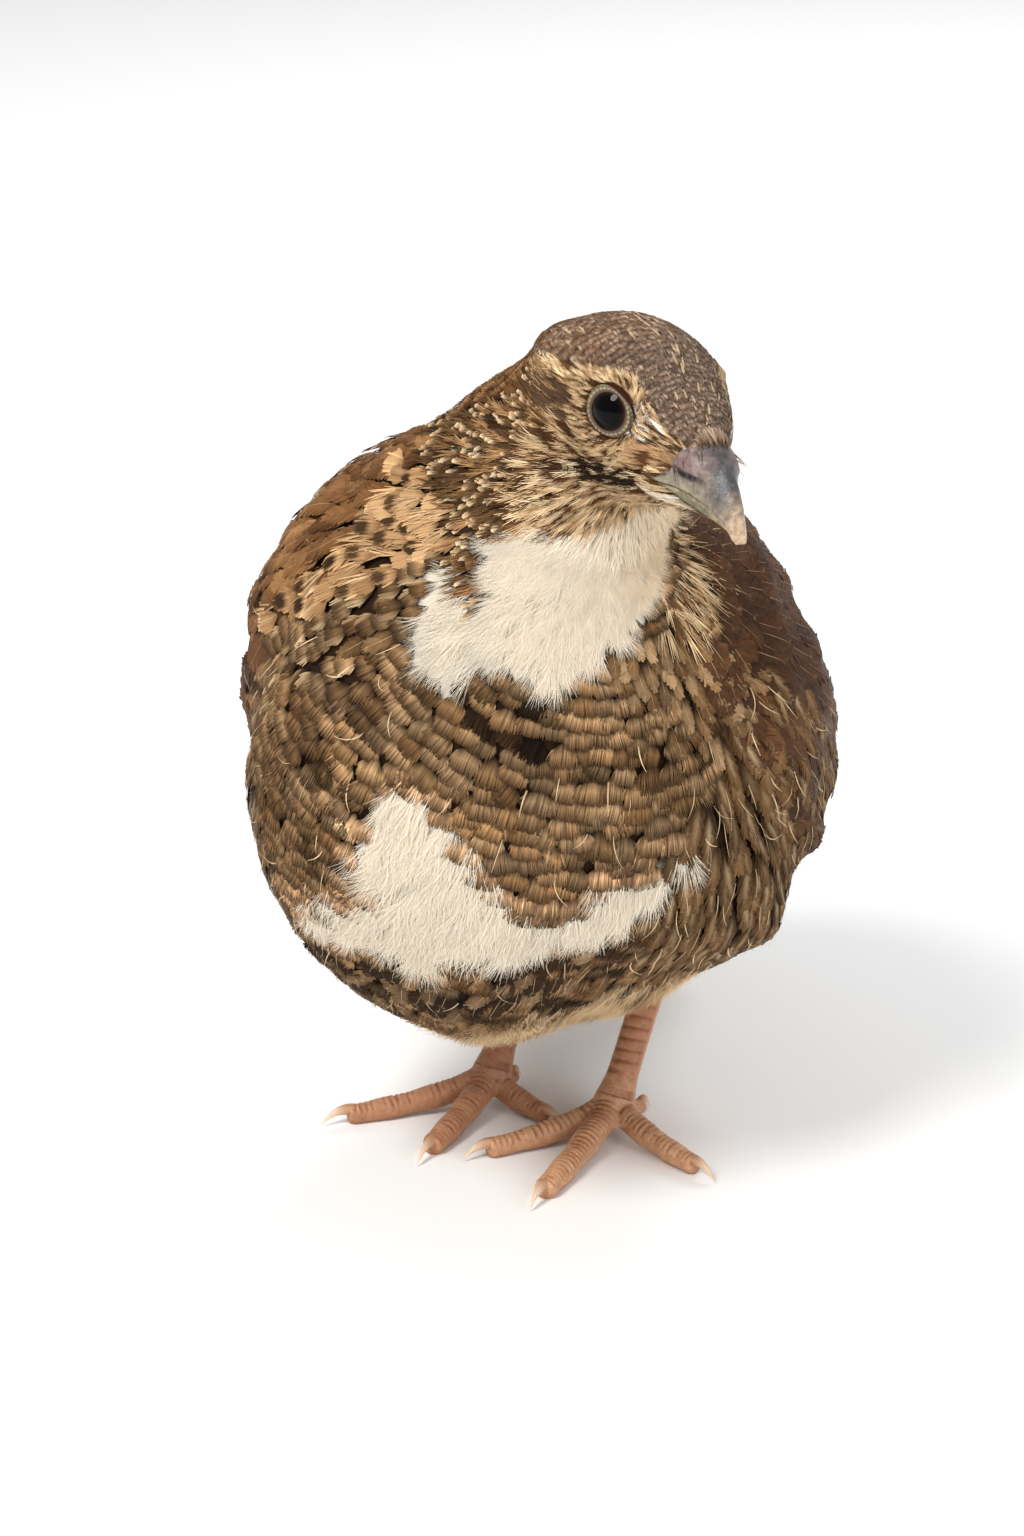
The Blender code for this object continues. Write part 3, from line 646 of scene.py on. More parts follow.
FORWARD = Vector((0, -math.cos(TORSO_PITCH), math.sin(TORSO_PITCH)))
ROLLED = Matrix.Rotation(TORSO_ROLL, 3, "Y")
DORSAL = ROLLED @ Vector((0, math.sin(TORSO_PITCH), math.cos(TORSO_PITCH)))
LEFT = ROLLED @ Vector((1, 0, 0))
TAIL_ALONG = Vector((0, math.cos(TAIL_DROOP), -math.sin(TAIL_DROOP)))
TAIL_UP = Vector((0, math.sin(TAIL_DROOP), math.cos(TAIL_DROOP)))


def torso_point(t, turn):
    """A point of the torso: t from -1 at the rump to 1 at the breast, turn in degrees from the back."""
    girth = math.sqrt(max(0.0, 1 - abs(t) ** TORSO_ROUNDNESS)) * (1 + TORSO_EGG * t)
    angle = math.radians(turn)
    height = BACK_RISE if math.cos(angle) > 0 else BELLY_DROP
    return (
        TORSO_CENTRE
        + FORWARD * TORSO_HALF_LENGTH * t
        + DORSAL * height * girth * math.cos(angle)
        + LEFT * TORSO_HALF_WIDTH * girth * math.sin(angle)
    )


def on_torso(point):
    """How far along the torso a point lies, from -1 to 1, and its turn from the back in degrees."""
    away = Vector(point) - TORSO_CENTRE
    rise = away.dot(DORSAL)
    rise /= BACK_RISE if rise > 0 else BELLY_DROP
    return away.dot(FORWARD) / TORSO_HALF_LENGTH, math.degrees(
        math.atan2(away.dot(LEFT) / TORSO_HALF_WIDTH, rise)
    )


def wing_edges(u):
    """The turns of a folded wing's upper and lower edge, in degrees from the back."""
    return [np.interp(u, [row[0] for row in WING_EDGES], [row[k] for row in WING_EDGES]) for k in (1, 2)]


def wing_point(side, u, v):
    """A place on a folded wing: u from the wrist to the tips, v from the upper edge to the lower one."""
    upper, lower = wing_edges(u)
    return torso_point(WING_FRONT - WING_REACH * u, side * (upper + (lower - upper) * v))


def on_wing(point):
    """The shares u and v of the nearer wing that a point lies at."""
    t, turn = on_torso(point)
    u = (WING_FRONT - t) / WING_REACH
    upper, lower = wing_edges(u)
    return u, (abs(turn) - upper) / (lower - upper)


def tail_point(along, across, up):
    """A place given in mm in the tail's frame."""
    return TAIL_ROOT + (TAIL_ALONG * along + Vector((across, 0, 0)) + TAIL_UP * up) * MM


def ring_mesh(name, rings, start, end):
    """A closed mesh through equal rings of points, with a fan to a point at each end."""
    rings = np.array(rings)
    count, sides = rings.shape[:2]
    points = np.concatenate([rings.reshape(-1, 3), [start, end]])
    faces = []
    for i in range(count - 1):
        for k in range(sides):
            a, b = i * sides + k, i * sides + (k + 1) % sides
            faces += [(a, b, b + sides), (a, b + sides, a + sides)]
    for k in range(sides):
        other = (k + 1) % sides
        faces.append((other, k, count * sides))
        faces.append(((count - 1) * sides + k, (count - 1) * sides + other, count * sides + 1))
    mesh = mesh_from_arrays(name, points, np.array(faces))
    bm = bmesh.new()
    bm.from_mesh(mesh)
    bmesh.ops.recalc_face_normals(bm, faces=bm.faces)
    bm.to_mesh(mesh)
    bm.free()
    return mesh


def make_rump():
    """The root of the tail, which its feathers grow from."""
    rings = []
    for s in np.linspace(0, 1, 9):
        width, depth = 13 - 6 * s, 11 - 9 * s**0.9
        turns = np.linspace(0, 2 * math.pi, 24, endpoint=False)
        rise = RUMP_RISE * s
        rings.append(
            [tail_point(RUMP_LENGTH * s, width * math.sin(a), rise + depth * math.cos(a)) for a in turns]
        )
    end = tail_point(RUMP_LENGTH + 1, 0, RUMP_RISE)
    return link_mesh("rump", ring_mesh("rump", rings, TAIL_ROOT, end))


def fill_sockets(bm):
    """Fills the hollows that the eyes sit in, up to a little under their surface."""
    for side in (1, -1):
        centre, look = eye_axes(side)
        socket = head_point(SOCKET_PLACE.x, SOCKET_PLACE.y * side, SOCKET_PLACE.z) - look * 1.2 * MM
        for place, radius in ((centre, 3.5 * MM), (socket, 3.6 * MM)):
            there = Matrix.Translation(place)
            bmesh.ops.create_icosphere(bm, subdivisions=3, radius=radius, matrix=there)


def make_skin():
    """The skin over the flesh, from the solids of the body, the tail's root and the filled sockets."""
    obj = joined_copy("skin", ("torso", "neck", "head", "wing_left", "wing_right"), 0.25 * MM)
    rump = make_rump()
    bm = bmesh.new()
    bm.from_mesh(obj.data)
    bm.from_mesh(rump.data)
    fill_sockets(bm)
    bm.to_mesh(obj.data)
    bm.free()
    bpy.data.objects.remove(rump)
    remeshed(obj, SKIN_VOXEL, SKIN_SMOOTHING)
    return Skin(obj)


# Feathers. A vane is a shaft with barbs to both sides, each a thin strip


class Vane:
    """One form of feather: s along it, x across it from -1 to 1, z over its spine in half widths."""

    def __init__(self, aspect, camber=0.12):
        self.aspect, self.camber = aspect, camber
        self.s, self.x, self.z, self.end, self.barb, self.faces = [], [], [], [], [], []

    def strip(self, s, x, half, barb, lift=0.0):
        """Adds a thin strip along a line, with its half widths."""
        first = len(self.s)
        ahead, across = np.gradient(s) * self.aspect, np.gradient(x)
        size = np.hypot(ahead, across)
        for j in range(len(s)):
            for sign in (-1, 1):
                aside = sign * across[j] / size[j] * half[j] / self.aspect
                self.s.append(min(max(s[j] - aside, 0.0), 1.0))
                self.x.append(x[j] + sign * ahead[j] / size[j] * half[j])
                self.z.append(lift - self.camber * x[j] ** 2)
                self.end.append(j / (len(s) - 1))
                self.barb.append(barb)
        for a in range(first, len(self.s) - 2, 2):
            self.faces += [(a, a + 2, a + 3), (a, a + 3, a + 1)]

    def closed(self):
        """Ends the form, its lists as arrays."""
        for name in ("s", "x", "z", "end", "barb", "faces"):
            setattr(self, name, np.array(getattr(self, name)))
        self.barb_count = self.barb.max() + 1
        return self


# How wide a barb's tip is as a share of its root, how much the barbs of a shell overlap, and how far up
# a tuft its strands may begin
BARB_TIP = 0.8
SHELL_COVER = 1.5
LOOSE_ROOTS = 0.35


def barbed(barbs, aspect, square, cover, start=0.2, pieces=2, shaft=0.03):
    """A vane: a shaft with barbs that fan out to an outline, blunter at the tip the larger square is."""
    vane = Vane(aspect)
    along = np.linspace(start * 0.5, 0.97, 6)
    vane.strip(along, along * 0, shaft * (1.25 - along), 0, 0.05)
    edge_s = np.linspace(start + 0.2, 1.0, 160)
    edge_x = 0.55 + 0.45 * smooth_step(edge_s, 0.1, 0.6)
    edge_x *= (1 - np.clip((edge_s - 0.55) / 0.45, 0, 1) ** square) ** (1 / square)
    run = np.concatenate([[0], np.cumsum(np.hypot(np.diff(edge_s) * aspect, np.diff(edge_x)))])
    root_gap, tip_gap = (0.93 - start) / barbs * aspect, run[-1] / barbs
    q = np.linspace(0, 1, pieces + 1)
    for i in range(barbs):
        share = (i + 0.5) / barbs
        root = start + (0.93 - start) * share
        tip_s, tip_x = (np.interp(share * run[-1], run, edge) for edge in (edge_s, edge_x))
        s = root + (tip_s - root) * (0.6 * q * (1 - q) + q * q)
        x = tip_x * (1.1 * q * (1 - q) + q * q)
        half = 0.5 * cover * (root_gap + (tip_gap - root_gap) * q) * (1 - (1 - BARB_TIP) * q**2)
        for side in (-1, 1):
            vane.strip(s, side * x, half, 2 * i + (side > 0) + 1)
    return vane.closed()


def shell(strips, aspect, square, start, camber=0.08, pieces=2):
    """A broad feather whose barbs run side by side to its blunt edge."""
    vane = Vane(aspect, camber)
    q = np.linspace(0, 1, pieces + 1)
    for i in range(strips):
        x = (2 * i + 1) / strips - 1
        tip = start + (1 - start) * (1 - abs(x) ** square) ** (1 / square)
        low = start + 0.25 * abs(x)
        half = SHELL_COVER / strips * (1 - 0.35 * q**2)
        vane.strip(low + (max(tip, low + 0.15) - low) * q, x * (0.72 + 0.28 * q**0.7), half, i)
    return vane.closed()


def tuft(strands, aspect, thick, pieces=3, lift=0.1):
    """A tuft: strands of hair that spread from its root, some longer than others."""
    vane = Vane(aspect)
    q = np.linspace(0, 1, pieces + 1)
    for k in range(strands):
        turn = 2 * ((k * 0.618) % 1) - 1
        first = LOOSE_ROOTS * ((k * 0.37 + 0.2) % 1)
        last = (0.7 + 0.3 * ((k * 0.73) % 1)) * (1 - 0.12 * turn**2)
        along, across = first + (last - first) * q, turn * (0.3 * q + 0.7 * q**1.7)
        vane.strip(along, across, thick * (1 - 0.85 * q), k, lift * (k % 4))
    return vane.closed()


def quill():
    """A single thin strand, in half widths of its own."""
    vane = Vane(12)
    q = np.linspace(0, 1, 6)
    vane.strip(q, 0 * q, 1 - 0.8 * q, 0)
    return vane.closed()


VANES = {
    "scale": shell(strips=36, aspect=2.7, square=3.6, start=0.4),
    "small": barbed(barbs=6, aspect=5, square=1.7, cover=1.5, pieces=1, shaft=0.05),
    "lance": barbed(barbs=17, aspect=5.5, square=2.0, cover=1.3),
    "long": barbed(barbs=34, aspect=9, square=2.4, start=0.1, cover=1.3, shaft=0.04),
    "down": tuft(strands=32, aspect=4, thick=0.027, lift=0.05),
    "hair": tuft(strands=8, aspect=5, thick=0.17, pieces=2),
    "cap": shell(strips=7, aspect=2.3, square=2.3, start=0.3, camber=0.14, pieces=3),
    "lobe": shell(strips=18, aspect=2.6, square=2.2, start=0.35, camber=0.1, pieces=5),
    "quill": quill(),
}
SPINE_STEPS = 7
SPINE_SHARES = [step / (SPINE_STEPS - 1) for step in range(SPINE_STEPS)]

# Where along a feather its heights over the skin are given
HEIGHT_SHARES = (0, 0.35, 0.63, 0.86, 1.0)


class Coat:
    """Feathers of one form, kept as numbers until they are made into meshes."""

    def __init__(self, form):
        self.form = form
        self.feathers = []

    def grow(self, skin, root, direction, length, width, heights, style, rough, twist=0.0, bend=0.0):
        """Lays one feather over the skin from root, its spine at the given heights along it."""
        spine, normals, sides = [], [], []
        place, normal, _, _ = skin.at(root)
        ahead = (direction - normal * direction.dot(normal)).normalized()
        levels = np.interp(np.linspace(0, 1, SPINE_STEPS), HEIGHT_SHARES, heights)
        for k in range(SPINE_STEPS):
            across = normal.cross(ahead).normalized()
            spine.append(place + normal * levels[k])
            sides.append((across + normal * twist).normalized())
            normals.append((normal - across * twist).normalized())
            if k < SPINE_STEPS - 1:
                ahead = ahead + across * (bend / SPINE_STEPS)
                place, normal, _, _ = skin.at(place + ahead * (length / (SPINE_STEPS - 1)))
                ahead = (ahead - normal * ahead.dot(normal)).normalized()
        self.lay(spine, normals, sides, width, style, root, rough)

    def lay(self, spine, normals, sides, width, style, root, rough):
        """Adds a feather whose spine is known."""
        self.feathers.append((spine, normals, sides, width, rough, style, root))

    def points_and_tints(self, random):
        """Every feather's points, their colours and its root, and the form that they share."""
        vane = VANES[self.form]
        count = len(self.feathers)
        *lines, width, rough, styles, roots = zip(*self.feathers)
        spine, normal, side = (np.array(line) for line in lines)
        width, rough = (np.array(values)[:, None] for values in (width, rough))
        steps = spine.shape[1] - 1
        loose = random.normal(0, 1, (count, vane.barb_count))[:, vane.barb]
        raised = random.normal(0, 1, (count, vane.barb_count))[:, vane.barb]
        s = np.clip(vane.s + loose * rough * vane.end**1.5 * 0.5, 0, 1)
        x = vane.x * (1 + 0.35 * loose * rough * vane.end)
        z = vane.z + 0.5 * raised * rough * vane.end
        at = s * steps
        low = np.clip(at.astype(int), 0, steps - 1)
        part = (at - low)[..., None]
        rows = np.arange(count)[:, None]
        place = spine[rows, low] * (1 - part) + spine[rows, low + 1] * part
        over = normal[rows, low] * (1 - part) + normal[rows, low + 1] * part
        across = side[rows, low] * (1 - part) + side[rows, low + 1] * part
        points = place + across * (x * width)[..., None] + over * (z * width)[..., None]
        tints = np.array([styles[k](s[k], x[k], loose[k]) for k in range(count)])
        return points, np.clip(tints, 0, 1), roots, vane


# How many triangles a piece of the coat may hold, and the size of a feather's patch in the wrap
LARGEST_PIECE = 190000
PATCH = 0.003


def make_coat(name, coats, material, random):
    """Joins feathers into pieces small enough to export, each feather with its patch of OFBake."""
    batches, batch, total = [], [], 0
    for coat in coats:
        if not coat.feathers:
            continue
        points, tints, roots, vane = coat.points_and_tints(random)
        for feather in zip(points, tints, unwrap_body(np.array(roots))):
            if total + len(vane.faces) > LARGEST_PIECE:
                batches.append(batch)
                batch, total = [], 0
            batch.append((*feather, vane))
            total += len(vane.faces)
    batches.append(batch)
    for number, batch in enumerate(batches, 1):
        points, tints, roots, vanes = zip(*batch)
        starts = np.cumsum([0] + [len(one) for one in points[:-1]])
        faces = np.concatenate([vane.faces + start for vane, start in zip(vanes, starts)])
        patches = [
            root + np.stack([vane.x * 0.5, vane.s - 0.5], 1) * PATCH for vane, root in zip(vanes, roots)
        ]
        piece = name + "_" + str(number)
        mesh = mesh_from_arrays(piece, np.concatenate(points), faces)
        layer = mesh.uv_layers.new(name="OFBake")
        layer.data.foreach_set("uv", np.concatenate(patches)[faces.ravel()].astype(np.float32).ravel())
        obj = finished(piece, mesh, np.concatenate(tints), material)
        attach(obj, "root")


# The body's long axis, from the rump to the breast, and its length
BODY_AXIS = np.array([0.12, -0.62, 0.78])
BODY_CENTRE = Vector((2.0, -20.0, 70.0)) * MM
BODY_LENGTH = 170 * MM


def unwrap_body(points):
    """Places on a wrap of the body round its own axis, by the turn round it and the way along it."""
    along = unit(BODY_AXIS)
    from_rump = points - np.array(BODY_CENTRE)
    way = from_rump @ along
    flat = from_rump - way[:, None] * along
    turn = np.arctan2(flat[:, 0], flat[:, 2] + 1e-9)
    return np.stack([0.5 + turn / (2 * math.pi) * 0.98, 0.5 + way / BODY_LENGTH], 1)


# Colours, as seen on a screen
COLOURS = {
    name: linear(colour)
    for name, colour in {
        "breast": (114, 84, 53),
        "breast_pale": (180, 146, 106),
        "breast_orange": (140, 102, 66),
        "breast_grey": (110, 90, 68),
        "breast_dark": (52, 35, 21),
        # gap: nearly black, the painted shade between the feathers, in the parting and on the skin
        "gap": (20, 12, 7),
        "shaft": (206, 180, 142),
        "peach": (194, 152, 112),
        "tan": (166, 130, 90),
        "white": (238, 229, 213),
        "painted_shade_grey": (186, 180, 170),
        "cream": (226, 200, 160),
        "wing": (81, 51, 29),
        "wing_pale": (112, 76, 50),
        "wing_dark": (44, 28, 17),
        "rufous": (126, 86, 52),
        "rufous_pale": (170, 128, 84),
        "buff": (202, 162, 116),
        "crown": (124, 101, 84),
        "crown_pale": (192, 168, 146),
        "crown_dark": (64, 50, 41),
        "ear": (100, 76, 54),
        "cheek": (174, 138, 98),
        "cheek_dark": (88, 58, 34),
        "malar": (46, 32, 22),
        "black": (26, 18, 12),
        "eye": (2, 2, 3),
        "iris": (22, 12, 9),
        "eye_rim": (58, 32, 22),
        "lid": (176, 164, 134),
        "lid_dark": (78, 60, 42),
        "culmen": (74, 72, 74),
        "bill_side": (136, 126, 112),
        "operculum": (118, 96, 94),
        "bill_tip": (182, 156, 128),
        "tomium": (156, 142, 110),
        "lower_bill": (116, 108, 88),
        "leg": (174, 116, 78),
        "leg_dark": (130, 66, 32),
        "leg_pale": (212, 168, 132),
        "claw": (192, 150, 116),
        "claw_pale": (226, 202, 174),
    }.items()
}


def mixed(a, b, share):
    """A colour between two, each given as a colour or by its name."""
    a, b = (COLOURS[colour] if isinstance(colour, str) else colour for colour in (a, b))
    share = np.asarray(share)[..., None]
    return a * (1 - share) + b * share


def between(random, a, b, low=0, high=1):
    """A colour somewhere between two, by a share of the second that is drawn from low to high."""
    return mixed(a, b, random.uniform(low, high))


def toned(colour, tone, spread, loose):
    """Colours made lighter or darker as a whole, and by the barb."""
    return colour * (tone * (1 + spread * np.clip(loose, -2, 2)))[:, None]


# How many dark bars a barred feather has along it, and how wide a streak must be to reach its tip
BARS_ALONG = 9
THIN_STREAK = 0.2


def scale_style(random, band, body, dark, edge, bars=0.0, shade=0.12, spread=0.2, stripe=None):
    """Colours of a body feather: a pale band past what covers it, its body, and its frayed edge, with painted
    shade at its covered root and its sides.
    """
    tone = random.normal(1.0, shade)
    phase = random.uniform(0, 1)
    hand = random.choice((-1, 1))

    def style(s, x, loose):
        # The covered root takes the dark colour, as painted shade where it shows between the feathers.
        colour = mixed(dark, band, smooth_step(s, 0.58, 0.67))
        colour = mixed(colour, body, smooth_step(s + 0.05 * loose, 0.73, 0.86))
        colour = mixed(colour, edge, smooth_step(s + 0.03 * loose, 0.90, 0.99))
        # Darker sides: painted shade between neighbouring feathers, along with any dark edge of the feather
        # itself.
        colour = mixed(colour, dark, 0.6 * smooth_step(np.abs(x), 0.72, 0.95))
        if stripe is not None:
            one_side = smooth_step(hand * x, 0.3, 0.5)
            colour = mixed(colour, stripe, 0.8 * one_side * smooth_step(s, 0.5, 0.7))
        if bars:
            wave = 0.5 + 0.5 * np.sin(2 * math.pi * (s * BARS_ALONG + phase - 0.5 * np.abs(x)))
            colour = mixed(colour, dark, bars * wave**2 * smooth_step(s, 0.5, 0.7))
        return toned(colour, tone, spread, loose)

    return style


def streak_style(random, ground, streak, dark, reach, shade=0.08, edge=None, tip=None):
    """Colours of a feather with a pale streak along its shaft, and perhaps a pale edge or tip."""
    tone = random.normal(1.0, shade)

    def style(s, x, loose):
        # The covered root takes the dark colour, as painted shade where it shows between the feathers.
        colour = mixed(dark, ground, smooth_step(s, 0.35, 0.7))
        if tip is not None:
            colour = mixed(colour, tip, smooth_step(s, 0.84, 0.95))
        if edge is not None:
            colour = mixed(colour, edge, 0.8 * smooth_step(np.abs(x), 0.7, 0.92))
        near = (1 - smooth_step(np.abs(x), reach * 0.5, reach)) * smooth_step(s, 0.3, 0.6)
        if reach < THIN_STREAK:
            near = near * smooth_step(s, 0.96, 0.88)
        return mixed(toned(colour, tone, 0.12, loose), streak, near * 0.9)

    return style


def spot_style(random, ground, spot, dark, middle, size):
    """Colours of a feather with an oval spot near its tip."""
    tone = random.normal(1.0, 0.1)

    def style(s, x, loose):
        # The covered root takes the dark colour, as painted shade where it shows between the feathers.
        colour = mixed(dark, ground, smooth_step(s, 0.4, 0.7))
        away = np.hypot((s - middle) / size[0], x / size[1]) + 0.12 * loose
        return mixed(toned(colour, tone, 0.15, loose), spot, smooth_step(away, 1.25, 0.75))

    return style


def down_style(random, colour, base, spread=0.05, shade=0.02):
    """Colours of a soft tuft, darker at its root."""
    tone = random.normal(1.0, shade)

    def style(s, x, loose):
        return toned(mixed(base, colour, smooth_step(s, 0.05, 0.4)), tone, spread, loose)

    return style


# Outlines of the white patches in the photograph, in its pixels
BIB = (
    (473, 550), (506, 528), (526, 534), (546, 536), (562, 539), (587, 536), (604, 526), (625, 513),
    (643, 502), (682, 506), (707, 516), (687, 521), (668, 532), (664, 556), (667, 570), (664, 590),
    (655, 608), (640, 636), (622, 653), (606, 670), (584, 686), (553, 700), (540, 703), (520, 693),
    (500, 680), (478, 668), (462, 690), (452, 703), (430, 698), (412, 680), (412, 655), (416, 632),
    (411, 615), (420, 597), (422, 578), (432, 568), (440, 575), (452, 592), (468, 611), (474, 600),
    (470, 580), (478, 565),
)
BELLY_PATCH = (
    (376, 803), (392, 796), (412, 796), (430, 808), (444, 831), (444, 849), (458, 872), (473, 882),
    (494, 892), (509, 913), (542, 921), (576, 919), (596, 902), (608, 880), (627, 880), (655, 868),
    (680, 854), (694, 864), (682, 887), (656, 906), (633, 929), (608, 947), (578, 959), (530, 961),
    (484, 969), (458, 959), (443, 984), (428, 982), (412, 976), (384, 969), (356, 956), (328, 943),
    (305, 923), (300, 915), (323, 905), (351, 913), (366, 902), (359, 887), (355, 864), (359, 841),
    (371, 826),
)
# How many pixels inside its outline a white patch begins
WHITE_INSET = 2.5


# Columns and rows of the photograph where looks change: the bib's warm side and its corner of painted grey
# shade, where the breast is peach beside the belly patch down to, where it may be streaked from, and where it
# darkens
WARM_COLUMNS = (560, 690)
WARM_ROWS = (660, 560)
GREY_COLUMN = 520
GREY_ROW = 720
PEACH_ROW = 925
STREAKY_ROW = 640
DARK_ROW = 945

# In pixels: how far into a white patch its down is grey at the root, as painted shade at the edge, how far
# outside their outlines the speckled neck and the peach edge of the belly patch begin, and where the
# parting's shadow starts and is full
PATCH_EDGE = 16
SPECKLED_MARGIN = 6
PEACH_MARGIN = 17
CLEFT_SHADOW = (-60, -8)


def depth_inside(pixel, outline):
    """How many pixels inside the outline a pixel lies, below 0 outside it."""
    x, y = pixel
    inside, nearest = False, math.inf
    ax, ay = outline[-1]
    for bx, by in outline:
        run, fall = bx - ax, by - ay
        share = min(1.0, max(0.0, ((x - ax) * run + (y - ay) * fall) / (run * run + fall * fall)))
        nearest = min(nearest, math.hypot(x - ax - share * run, y - ay - share * fall))
        if (ay > y) != (by > y) and x < ax + (y - ay) * run / fall:
            inside = not inside
        ax, ay = bx, by
    return nearest if inside else -nearest


# A parting between the feathers of the breast, painted in as shadow, and the fluff between the legs
CLEFT = ((456, 700), (470, 702), (492, 722), (522, 730), (548, 744), (540, 758), (512, 748), (482, 738))
FLUFF = ((440, 1030), (500, 1018), (560, 1012), (620, 990), (680, 975), (680, 1060), (440, 1060))

# Where the buff band and the red-brown mantle beside it lie in the photograph, in its pixels
BUFF_BAND = (
    (438, 462), (448, 505), (450, 550), (420, 560), (400, 570), (372, 590), (335, 600), (300, 618),
    (275, 640), (268, 620), (300, 590), (340, 560), (372, 520), (395, 480), (425, 452),
)
MANTLE = (
    (225, 720), (235, 640), (252, 580), (290, 520), (335, 470), (380, 435), (440, 405), (474, 420),
    (425, 452), (395, 480), (372, 520), (340, 560), (300, 590), (268, 620), (262, 660), (250, 720),
)
SPECKLED = (
    (440, 428), (432, 465), (446, 500), (450, 545), (476, 552), (506, 530), (560, 540), (604, 528),
    (600, 500), (560, 470), (535, 430), (520, 395), (490, 410),
)
THROAT_SIDE = (
    (676, 520), (720, 512), (722, 560), (706, 610), (690, 650), (660, 640), (662, 600), (668, 560),
)


def eye_axes(side):
    """The centre of an eye and the way it looks."""
    place = Vector((EYE_PLACE.x, EYE_PLACE.y * side, EYE_PLACE.z))
    look = Vector((math.sin(EYE_FORWARD), math.cos(EYE_FORWARD) * side, 0.06))
    return head_point(*place), (HEAD_FRAME @ look).normalized()


def tree_of(mesh):
    """A mesh as a tree in which the nearest place is found."""
    points = [tuple(vertex.co) for vertex in mesh.vertices]
    return BVHTree.FromPolygons(points, [tuple(face.vertices) for face in mesh.polygons])


class Ground:
    """What the small feathers keep clear of: the bill and the eyes."""

    def __init__(self):
        self.bills = [tree_of(NODES[name].data) for name in ("bill_upper", "bill_lower")]
        self.eyes = [eye_axes(side) for side in (1, -1)]

    def in_bill(self, place):
        """Whether a place lies inside a half of the bill."""
        for tree in self.bills:
            near, normal, _, _ = tree.find_nearest(place)
            if (place - near).dot(normal) < -0.5 * MM and (place - near).length < 4 * MM:
                return True
        return False

    def from_eye(self, place):
        """How many mm a place lies from the line that an eye looks along, and the way out from it."""
        best = (99.0, None)
        for centre, look in self.eyes:
            away = place - centre
            ahead = away.dot(look)
            if ahead > -MM and away.length < 12 * MM:
                out = away - look * ahead
                if out.length / MM < best[0]:
                    best = (out.length / MM, out.normalized())
        return best


def grow_body(skin, ground, random):
    """The small feathers of the head, neck, breast, belly and back, row by row."""
    coats = {form: Coat(form) for form in VANES}
    level, row = 1.0, 0
    last = skin.way.max() - 1
    while level < last:
        spacing = float(stepped(ROW_SPACING, level))
        between = spacing * float(stepped(COLUMN_SHARE, level)) * MM
        for line in skin.rows(level):
            steps = np.linalg.norm(np.diff(line, axis=0), axis=1)
            along = np.concatenate([[0], np.cumsum(steps)])
            if along[-1] < 1.5 * spacing * MM:
                continue
            count = max(3, round(along[-1] / between))
            for k in range(count):
                reach = (k + 0.5 * (row % 2) + random.uniform(-0.08, 0.08)) / count % 1 * along[-1]
                root = Vector([np.interp(reach, along, line[:, c]) for c in range(3)])
                plant(skin, coats, ground, root, spacing, random)
        level += spacing
        row += 1
    return coats


def plant(skin, coats, ground, root, spacing, random):
    """Grows the feather that belongs at root."""
    u, v = on_wing(root)
    if WING_ALONG[0] < u < WING_ALONG[1] and WING_TOP < v < FLANK_START:
        return
    flank = FLANK_ALONG[0] < u < FLANK_ALONG[1] and FLANK_START <= v < FLANK_LOW
    _, normal, flow, way = skin.at(root)
    if way > NECK_WAY:
        root = root + flow * random.normal(0, 0.09) * spacing * MM
    if way < BILL_WAY and ground.in_bill(root):
        return
    gap, away = ground.from_eye(root)
    if gap < EYE_CLEAR:
        return
    by_eye = smooth_step(gap, *EYE_REACH)
    if away is not None:
        inward = min(0.0, flow.dot(away))
        flow = (flow + away * (0.15 - 1.25 * inward) * by_eye).normalized()
    across = normal.cross(flow)
    direction = (flow + across * random.normal(0, 0.08)).normalized()
    size = spacing * random.normal(1.0, 0.05) * (1 - 0.35 * by_eye)
    tip = root + direction * 2.4 * size * MM
    seen = normal.dot(PHOTO_BACK) > SEEN_FROM
    look = dict(way=way, head=in_head(tip), pixel=in_photo(tip), seen=seen, root=tip, flank=flank)
    form, style, length, width, heights, loose = body_look(look, random)
    if away is not None:
        for _ in range(3):
            if ground.from_eye(root + direction * size * length * MM)[0] > EYE_CLEAR - 0.25:
                break
            length *= 0.7
    lift = float(standing_out(np.array(look["pixel"]), STANDING_OUT)) * MM * STANDING_SHARES
    copies = 1
    if form == "down":
        copies = DOWN_TOGETHER
    elif form in ("hair", "small", "cap") and way > DOUBLE_WAY:
        copies = SMALL_TOGETHER
    for copy in range(copies):
        start = root
        if copy and form != "down":
            start = root + (direction * 0.5 + across * 0.45) * spacing * MM
            form, style, length, width, heights, loose = body_look(look, random)
        elif copy:
            aside = direction * random.uniform(-0.6, 0.6) + across * random.uniform(-0.7, 0.7)
            start = root + aside * spacing * MM
            direction = (direction + across * random.normal(0, 0.12)).normalized()
        coats[form].grow(
            skin, start, direction, size * length * MM, size * width * MM,
            heights * spacing * MM + lift, style,
            rough=loose, twist=random.normal(0, 0.07), bend=random.normal(0, 0.1 + loose),
        )
    often = FLANK_BARBS if flank else BREAST_BARBS
    if way > BREAST_WAY and form in ("scale", "lance") and random.uniform() < often:
        start = root + (direction * 1.6 + across * 0.72) * spacing * MM
        shaft = between(random, "shaft", "cream")
        coats["quill"].grow(
            skin, start, (direction + across * random.normal(0, 0.15)).normalized(),
            random.uniform(0.8, 2.2) * spacing * MM, random.uniform(0.05, 0.13) * MM,
            QUILL_HEIGHTS * spacing * MM, down_style(random, shaft, shaft * 0.5),
            rough=0.0, bend=random.normal(0, 1.0),
        )


